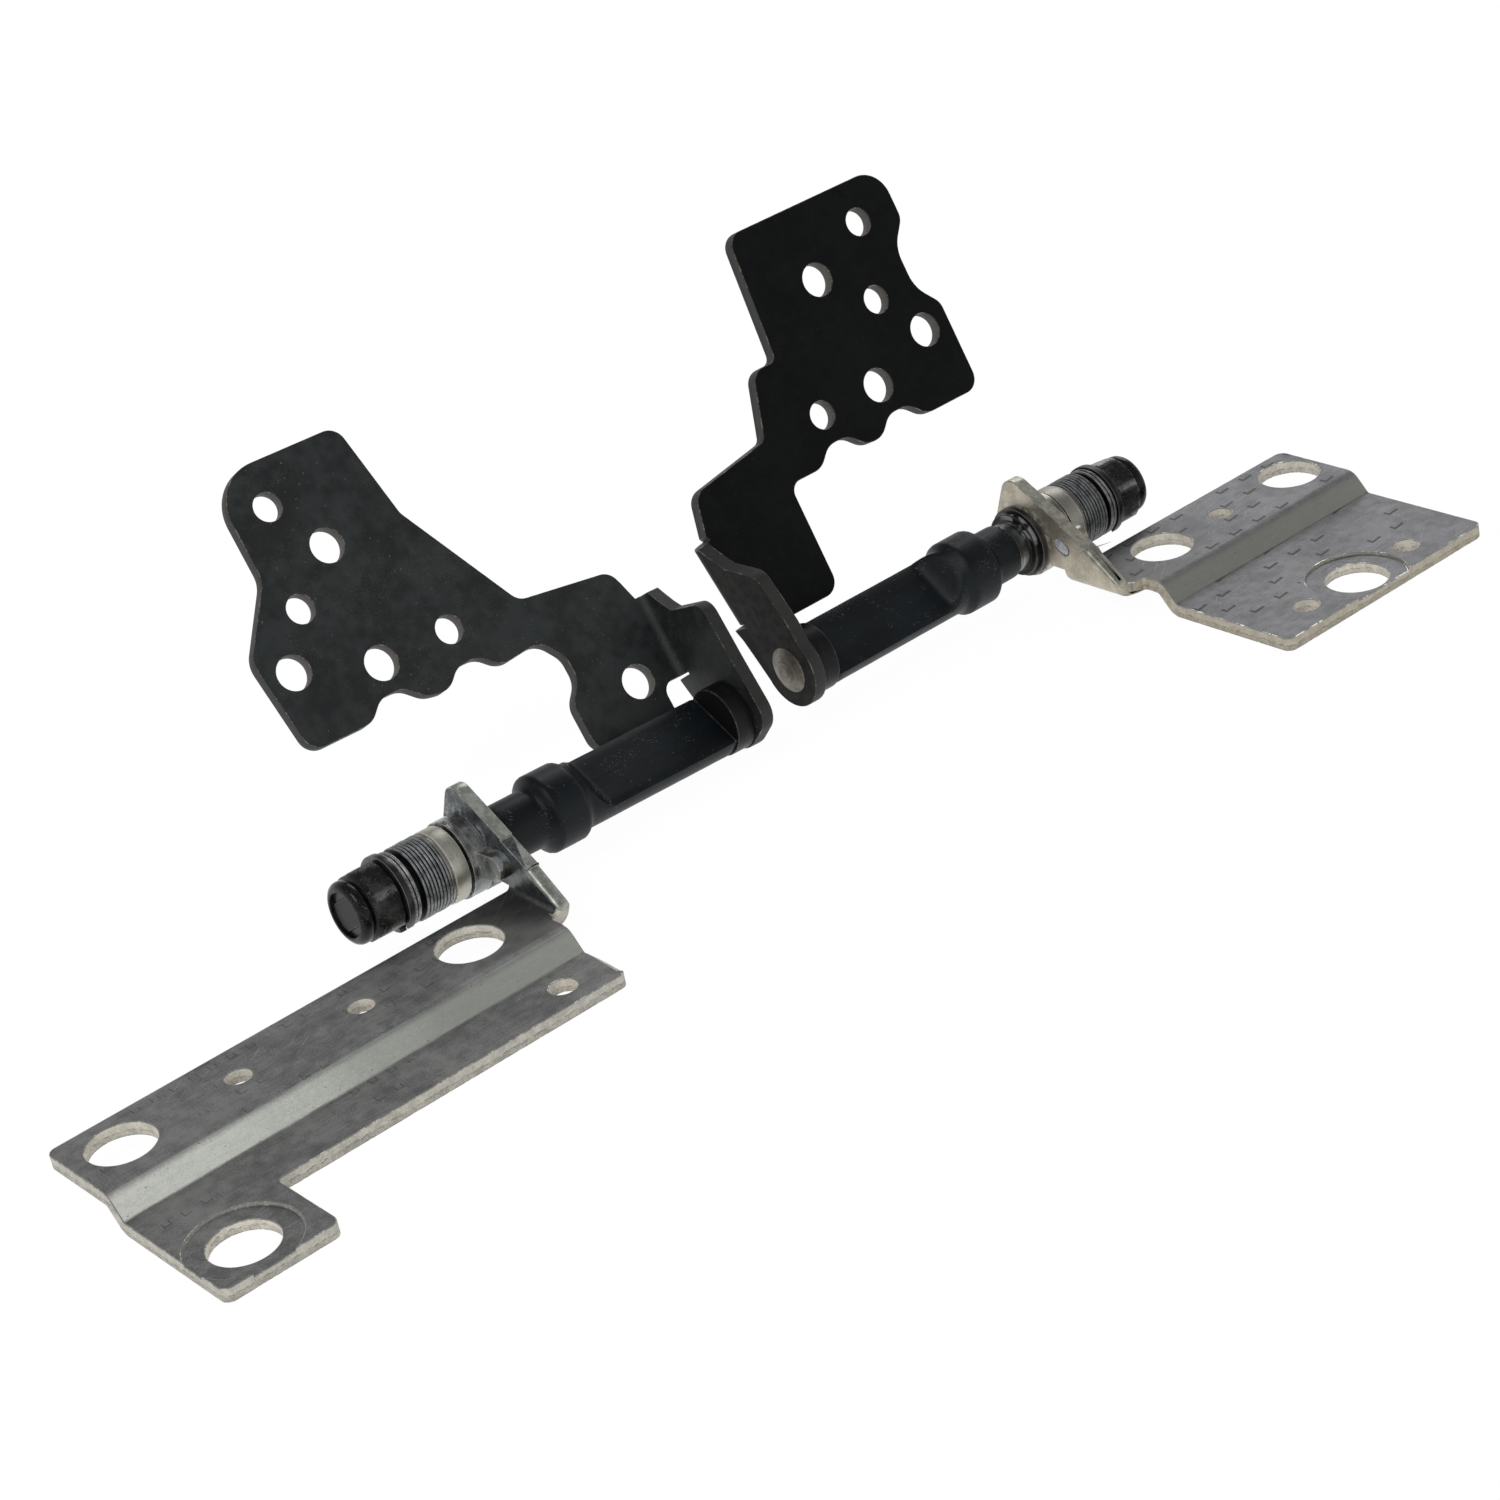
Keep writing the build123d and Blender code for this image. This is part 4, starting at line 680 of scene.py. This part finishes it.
def stacking_tree():
    """Repeats one disc along the shaft, each a little off centre."""
    tree = bpy.data.node_groups.new("disc_stack", "GeometryNodeTree")
    tree.interface.new_socket("Disc", in_out="INPUT", socket_type="NodeSocketGeometry")
    tree.interface.new_socket("Count", in_out="INPUT", socket_type="NodeSocketInt")
    tree.interface.new_socket("Pitch", in_out="INPUT", socket_type="NodeSocketFloat")
    tree.interface.new_socket("Slack", in_out="INPUT", socket_type="NodeSocketFloat")
    tree.interface.new_socket("Seed", in_out="INPUT", socket_type="NodeSocketInt")
    tree.interface.new_socket("Finish", in_out="INPUT", socket_type="NodeSocketMaterial")
    tree.interface.new_socket("Stack", in_out="OUTPUT", socket_type="NodeSocketGeometry")
    given = tree.nodes.new("NodeGroupInput")
    row = tree.nodes.new("GeometryNodeMeshLine")
    apart = tree.nodes.new("ShaderNodeCombineXYZ")
    tree.links.new(given.outputs["Pitch"], apart.inputs["X"])
    tree.links.new(given.outputs["Count"], row.inputs["Count"])
    tree.links.new(apart.outputs[0], row.inputs["Offset"])
    low = tree.nodes.new("ShaderNodeMath")
    low.operation = "MULTIPLY"
    low.inputs[1].default_value = -1.0
    tree.links.new(given.outputs["Slack"], low.inputs[0])
    lows = tree.nodes.new("ShaderNodeCombineXYZ")
    highs = tree.nodes.new("ShaderNodeCombineXYZ")
    for letter in "YZ":
        tree.links.new(low.outputs[0], lows.inputs[letter])
        tree.links.new(given.outputs["Slack"], highs.inputs[letter])
    drift = tree.nodes.new("FunctionNodeRandomValue")
    drift.data_type = "FLOAT_VECTOR"
    tree.links.new(lows.outputs[0], drift.inputs[0])
    tree.links.new(highs.outputs[0], drift.inputs[1])
    tree.links.new(given.outputs["Seed"], drift.inputs["Seed"])
    placed = tree.nodes.new("GeometryNodeSetPosition")
    tree.links.new(row.outputs[0], placed.inputs["Geometry"])
    tree.links.new(drift.outputs[0], placed.inputs["Offset"])
    copies = tree.nodes.new("GeometryNodeInstanceOnPoints")
    tree.links.new(placed.outputs[0], copies.inputs["Points"])
    tree.links.new(given.outputs["Disc"], copies.inputs["Instance"])
    real = tree.nodes.new("GeometryNodeRealizeInstances")
    tree.links.new(copies.outputs[0], real.inputs[0])
    coated = tree.nodes.new("GeometryNodeSetMaterial")
    tree.links.new(real.outputs[0], coated.inputs["Geometry"])
    tree.links.new(given.outputs["Finish"], coated.inputs["Material"])
    given_out = tree.nodes.new("NodeGroupOutput")
    tree.links.new(coated.outputs[0], given_out.inputs[0])
    return tree


def stacked(name, side, disc, first, **inputs):
    """The stack as a plain mesh on a hinge's line, its first disc at the given distance from the tab."""
    start, outward = hinge_lines[side]
    source = bpy.data.objects.new(name, disc)
    bpy.context.scene.collection.objects.link(source)
    repeat = source.modifiers.new("stack", "NODES")
    repeat.node_group = disc_stack
    for item in disc_stack.interface.items_tree:
        if item.in_out == "INPUT" and item.name in inputs:
            repeat[item.identifier] = inputs[item.name]
    bpy.context.view_layer.update()
    seen = source.evaluated_get(bpy.context.evaluated_depsgraph_get())
    mesh = bpy.data.meshes.new_from_object(seen)
    source.modifiers.remove(repeat)
    turn = Vector((1, 0, 0)).rotation_difference(outward).to_matrix().to_4x4()
    mesh.transform(Matrix.Translation((start + outward * first) * MM) @ turn)
    mesh.name = name
    source.data = mesh
    return source


def spring_finish(name, side, edge_radius, dark, light, bright):
    """Tumbled spring steel, dark with painted shade on the faces in the gaps between discs, and with a
    painted highlight on the rim.
    """
    finish, place = new_finish(name)
    start, outward = hinge_lines[side]
    radius = place.off_line(start, outward)
    blot = place.cloud(0.8, 4.0)
    fine = place.cloud(0.10, 2.0, (0.6, 2, 2))
    rim = radius.step(edge_radius - 0.10, edge_radius)
    colour = (blot * 0.7 + fine * 0.3).step(0.36, 0.66).tint(dark, light)
    # Painted highlight on each disc's rim.
    colour = (rim * (blot * 0.6 + fine * 0.6).step(0.40, 0.80)).tint(colour, bright)
    # Painted shade on the faces that lie in the gaps between discs.
    gap_shade = 1 - radius.step(edge_radius - 0.16, edge_radius - 0.05)
    colour = (gap_shade * 0.9).tint(colour, (0.010, 0.010, 0.011, 1))
    close_finish(place, colour, 0.44 + blot * 0.10, 0.9, fine.relief(0.010, 0.5))
    return finish


# The third of each set of tones is the painted rim highlight.
SPRING_TONES = ((0.105, 0.111, 0.115), (0.20, 0.21, 0.216), (0.34, 0.35, 0.35))
SPRING_FIRST = 32.792
SPRING_PITCH = 0.324
SPRING_SLACK = 0.028
HARD_TONES = ((0.12, 0.124, 0.127), (0.26, 0.264, 0.264), (0.46, 0.46, 0.44))
HARD_FIRST = 35.862
HARD_PITCH = 0.38
HARD_SLACK = 0.025
disc_stack = stacking_tree()
# The right hinge's disc tones are the left's, made darker by the share given.
for side, side_share in (("left", 1.0), ("right", 0.6)):
    spring_tones = [shaded(tone, side_share) for tone in SPRING_TONES]
    spring_steel = spring_finish(side + "_spring_steel", side, 3.15, *spring_tones)
    spring = disc_mesh(side + "_sprung_disc", outer=3.17, bore=1.86, thick=0.245, cone=0.03)
    springs = stacked(side + "_sprung_discs", side, spring, SPRING_FIRST, Count=8, Pitch=SPRING_PITCH * MM,
                      Slack=SPRING_SLACK * MM, Seed=4, Finish=spring_steel)
    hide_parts(side + "_disc_springs")
    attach(springs, side + "_lid_bracket")
    hard_tones = [shaded(tone, side_share) for tone in HARD_TONES]
    hard_steel = spring_finish(side + "_hard_washer_steel", side, 3.10, *hard_tones)
    washer = disc_mesh(side + "_hard_washer", outer=3.12, bore=1.82, thick=0.32, cone=0.0)
    washers = stacked(side + "_hard_washers", side, washer, HARD_FIRST, Count=2, Pitch=HARD_PITCH * MM,
                      Slack=HARD_SLACK * MM, Seed=9, Finish=hard_steel)
    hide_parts(side + "_thrust_washers")
    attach(washers, side + "_lid_bracket")


# Lock nuts. A small hexagon with a rounded collar that grips the stem, cold formed and black oxidised.
# It sets the preload of the springs. The spanner has rubbed its corners and faces.
NUT_START = 37.04
NUT_FLAT = 2.8
STEM_RADIUS = 1.77
STEM_FLAT = 1.27
NUT_FACE = 40.57
NUT_OUTLINE = ((NUT_START, 2.55), (37.20, 2.95), (37.38, 3.15), (38.2, 3.15), (39.10, 3.15), (39.42, 3.00),
               (39.64, 2.80), (39.72, 2.64), (39.80, 2.52), (39.88, 2.56), (40.02, 2.65), (40.25, 2.70),
               (40.50, 2.67), (40.70, 2.56), (40.84, 2.38), (40.92, 2.18), (40.92, 2.06), (40.86, 1.97),
               (40.64, 1.93), (NUT_FACE, 1.90))
NUT_TURN = {"left": -32.5, "right": -25.0}


def nut_mesh(name, side):
    """Hexagon with worn corners, bevelled at both ends, and a collar crimped on the flattened stem."""
    start, outward = hinge_lines[side]
    up = Vector((-outward.z, 0, outward.x)) * (1 if side == "right" else -1)
    back = Vector((0, 1, 0))
    around = 144
    shell = bmesh.new()
    rows = []
    for reach, reach_radius in NUT_OUTLINE + ((NUT_FACE, 0.0), (NUT_START, 0.0)):
        row = []
        for step in range(around):
            angle = 2 * math.pi * step / around
            off_flat = (angle + math.pi / 6) % (math.pi / 3) - math.pi / 6
            radius = min(reach_radius, NUT_FLAT / math.cos(math.pi / 6 - abs(off_flat)))
            if reach_radius == 0.0:
                radius = min(STEM_RADIUS, STEM_FLAT / max(0.05, abs(math.sin(angle))))
            turned = angle + math.radians(NUT_TURN[side])
            row.append(shell.verts.new((start + outward * reach + back * (radius * math.cos(turned))
                                        + up * (radius * math.sin(turned))) * MM))
        rows.append(row)
    for first, second in zip(rows, rows[1:] + rows[:1]):
        for step in range(around):
            after = (step + 1) % around
            shell.faces.new((first[step], second[step], second[after], first[after])).smooth = True
    bmesh.ops.recalc_face_normals(shell, faces=shell.faces)
    mesh = bpy.data.meshes.new(name)
    shell.to_mesh(mesh)
    shell.free()
    mesh.set_sharp_from_angle(angle=math.radians(26))
    return mesh


def nut_finish(name, side):
    finish, place = new_finish(name)
    start, outward = hinge_lines[side]
    reach = place.along(start, outward)
    radius = place.off_line(start, outward)
    blot = place.cloud(1.2, 4.0)
    fine = place.cloud(0.14, 2.0)
    drag = place.scratches(0.07, 1.4, (0.9, 0.2, 0.4), 0.10)
    drag = drag.most(place.scratches(0.06, 1.1, (0.2, 0.8, -0.6), 0.10))
    hexagon = 1 - reach.step(39.6, 39.8)
    rubbed = (blot * 0.7 + fine * 0.3).step(0.46, 0.64) * hexagon
    corner = radius.step(2.98, 3.14) * (fine * 0.5 + blot * 0.5).step(0.36, 0.58)
    colour = blot.step(0.35, 0.65).tint((0.008, 0.008, 0.009, 1), (0.020, 0.021, 0.022, 1))
    colour = (rubbed * 0.42).tint(colour, (0.12, 0.118, 0.112, 1))
    colour = ((1 - hexagon) * 0.7).tint(colour, (0.0045, 0.0045, 0.005, 1))
    colour = (corner * 0.6).tint(colour, (0.26, 0.26, 0.25, 1))
    colour = (drag * 0.5).tint(colour, (0.30, 0.30, 0.29, 1))
    # Painted shade in the groove between hexagon and collar and in the recessed end round the stem.
    groove_shade = reach.within(39.72, 39.84, 0.03).most(1 - radius.step(1.96, 2.02))
    colour = (groove_shade * 0.8).tint(colour, (0.003, 0.003, 0.003, 1))
    height = fine * 0.5 + blot * 1.2 + drag * 0.6
    roughness = 0.16 + hexagon * 0.08 + fine * 0.12 + rubbed * 0.06
    close_finish(place, colour, roughness, 0.40 + rubbed * 0.5, height.relief(0.02, 0.7), IOR=1.36)
    return finish


for side in hinge_lines:
    nut_skin = nut_mesh(side + "_hexagon_nut", side)
    nut_skin.materials.append(nut_finish(side + "_black_nut", side))
    nut = bpy.data.objects.new(side + "_hexagon_nut", nut_skin)
    bpy.context.scene.collection.objects.link(nut)
    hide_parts(side + "_lock_nut")
    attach(nut, side + "_lid_bracket")


# Display brackets. Blanked, punched and folded from steel sheet, then blackened. The tab is riveted to the
# shaft by its peened end, and the plate is screwed to the screen's frame. Handling has left tan hairline
# scratches, dust and thin bright edges.
def black_face(name, side, behind, dark, light, tab_tone):
    finish, place = new_finish(name)
    start, outward = hinge_lines[side]
    mottle = place.cloud(6.0, 4.0) * 0.5 + place.cloud(1.2, 4.0) * 0.5
    grain = place.cloud(0.13, 2.0)
    hair = place.scratches(0.05, 3.2, (0.3, 0.8, 0.5), 0.095)
    hair = hair.most(place.scratches(0.05, 2.4, (-0.4, 0.3, 1.9), 0.095))
    hair = hair.most(place.scratches(0.05, 4.5, (0.6, -0.9, 0.2), 0.095))
    hair = hair * place.cloud(4.0, 3.0).step(0.46, 0.60)
    dust = place.cloud(0.26, 1.0).step(0.74, 0.79)
    tab = 1 - place.along(start, behind).step(2.6, 3.4)
    brushed = tab * (place.cloud(0.8, 4.0) * 0.6 + place.cloud(0.12, 2.0, (1, 1, 8)) * 0.4).step(0.36, 0.62)
    colour = mottle.step(0.38, 0.62).tint(dark, light)
    colour = (brushed * 0.7).tint(colour, tab_tone)
    hair_tone = (0.150, 0.134, 0.108, 1) if side == "left" else (0.026, 0.025, 0.023, 1)
    colour = (hair * 0.80).tint(colour, hair_tone)
    colour = (dust * 0.45).tint(colour, shaded(light, 7))
    height = grain * 0.5 + mottle * 0.6 + hair * 0.3
    gloss = 1.18 if side == "right" else 1.40
    roughness = 0.42 + mottle * 0.14 - hair * 0.06
    close_finish(place, colour, roughness, brushed * 0.3, height.relief(0.016, 0.55), IOR=gloss)
    return finish


def plate_edge(side):
    """A test for the sheared edges and hole walls of a display bracket."""
    start, outward = hinge_lines[side]

    def is_edge(face, tree):
        middle = face.calc_center_median() / MM
        if (middle - start).dot(outward) > 3.6:
            return abs(face.normal.dot(behind_plate[side])) < 0.35
        return thickness_under(face, tree) > SHEET * 1.25 * MM

    return is_edge


behind_plate = {"left": Vector((0, 0.8434, -0.5373)), "right": Vector((0, 0.9063, -0.4226))}
black_worn_rim = rubbed_rim("black_sheet_rim", (0.012, 0.012, 0.012, 1), (0.20, 0.184, 0.155, 1), 0.13, 0.85)
lid_faces = {
    "left": black_face("black_left", "left", behind_plate["left"], dark=(0.0075, 0.0100, 0.0102, 1),
                       light=(0.0225, 0.0268, 0.0268, 1), tab_tone=(0.016, 0.0165, 0.0165, 1)),
    # The right plate's tones are set darker than the left's: painted shade, as it reflects darker
    # surroundings.
    "right": black_face("black_right", "right", behind_plate["right"], dark=(0.0018, 0.0022, 0.0026, 1),
                        light=(0.0042, 0.0048, 0.0052, 1), tab_tone=(0.030, 0.0275, 0.024, 1)),
}
# Hole walls get tones far lighter than the sheet's edges: painted light on the walls that face it.
lit_black_walls = sheared_edge("lit_black_hole_wall", (0.105, 0.100, 0.090, 1), (0.16, 0.15, 0.13, 1), [], 0.4)
for side, face in lid_faces.items():
    start, outward = hinge_lines[side]
    black_edge = sheared_edge(side + "_black_edge", (0.022, 0.0215, 0.020, 1), (0.040, 0.038, 0.034, 1),
                              [(start + behind_plate[side] * 4.55, behind_plate[side])], 0.25)
    finishes = (face, black_edge, lit_black_walls, black_worn_rim)
    plate = dressed(side + "_display_bracket", side + "_lid_sheet", finishes, 0.07, is_edge=plate_edge(side))
    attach(plate, side + "_lid_bracket")


# Table, light and camera. The pair lies on a white table in a light tent: bright all round, dimmer overhead,
# with two soft lamps, and the camera looks down on it from the front left, rolled a little.
table = bpy.data.meshes.new("table")
table.from_pydata([(-3, -3, 0), (3, -3, 0), (3, 3, 0), (-3, 3, 0)], [], [(0, 1, 2, 3)])
table.transform(Matrix.Translation((0, 0, -0.02 * MM)))
white = bpy.data.materials.new("white_table")
white.use_nodes = True
white.node_tree.nodes.clear()
paint = Tone(white.node_tree, None)
seen_by = paint.node("ShaderNodeLightPath", out=0)
mirrored = Tone(white.node_tree, seen_by.socket.node.outputs["Is Glossy Ray"])
through = Tone(white.node_tree, seen_by.socket.node.outputs["Is Transmission Ray"])
matt = paint.node("ShaderNodeBsdfDiffuse", None, {"Color": (0.86, 0.86, 0.86, 1)})
glow = paint.node("ShaderNodeEmission", None, {"Color": (1, 1, 1, 1), "Strength": 1.04})
shown = seen_by.most(mirrored).most(through) * 0.93
mixed = paint.node("ShaderNodeMixShader", None, {0: shown, 1: matt, 2: glow})
paint.node("ShaderNodeOutputMaterial", None, {"Surface": mixed})
table.materials.append(white)
floor = bpy.data.objects.new("table", table)
bpy.context.scene.collection.objects.link(floor)

tent = bpy.data.worlds.new("light_tent")
tent.use_nodes = True
tent.node_tree.nodes.clear()
cloth = Tone(tent.node_tree, None)
height_above = cloth.node("ShaderNodeTexCoord", out=0).part("Z")
rising = [(0.0, (1, 1, 1, 1)), (0.28, (0.80, 0.80, 0.80, 1)), (0.60, (0.36, 0.36, 0.37, 1)),
          (1.0, (0.22, 0.22, 0.23, 1))]
walls = cloth.node("ShaderNodeValToRGB", {"stops": rising}, {"Fac": height_above})
straight = cloth.node("ShaderNodeLightPath", out=0)
sky = straight.tint(walls, (1, 1, 1, 1))
back = cloth.node("ShaderNodeBackground", None, {"Color": sky, "Strength": 1.0})
cloth.node("ShaderNodeOutputWorld", None, {"Surface": back})
bpy.context.scene.world = tent

lamps = (("key_lamp", (-0.26, -0.10, 0.34), 0.22, 0.55), ("fill_lamp", (0.30, 0.24, 0.30), 0.26, 0.45))
for lamp, spot, size, watts in lamps:
    light = bpy.data.lights.new(lamp, "AREA")
    light.shape = "DISK"
    light.size = size
    light.energy = watts
    holder = bpy.data.objects.new(lamp, light)
    holder.location = spot
    holder.rotation_euler = (-Vector(spot)).to_track_quat("-Z", "Y").to_euler()
    bpy.context.scene.collection.objects.link(holder)

lens = bpy.data.cameras.new("camera")
lens.lens = 85.98
lens.sensor_width = 36.0
camera = bpy.data.objects.new("camera", lens)
heading = math.radians(34.91)
dip = math.radians(27.59)
roll = math.radians(-11.65)
camera_place = (-0.14725, -0.21617, 0.13937)
aim = Matrix.Rotation(-heading, 4, "Z") @ Matrix.Rotation(math.pi / 2 - dip, 4, "X")
aim = aim @ Matrix.Rotation(roll, 4, "Z")
camera.matrix_world = Matrix.Translation(camera_place) @ aim
bpy.context.scene.collection.objects.link(camera)
bpy.context.scene.camera = camera
bpy.context.scene.view_settings.view_transform = "Standard"
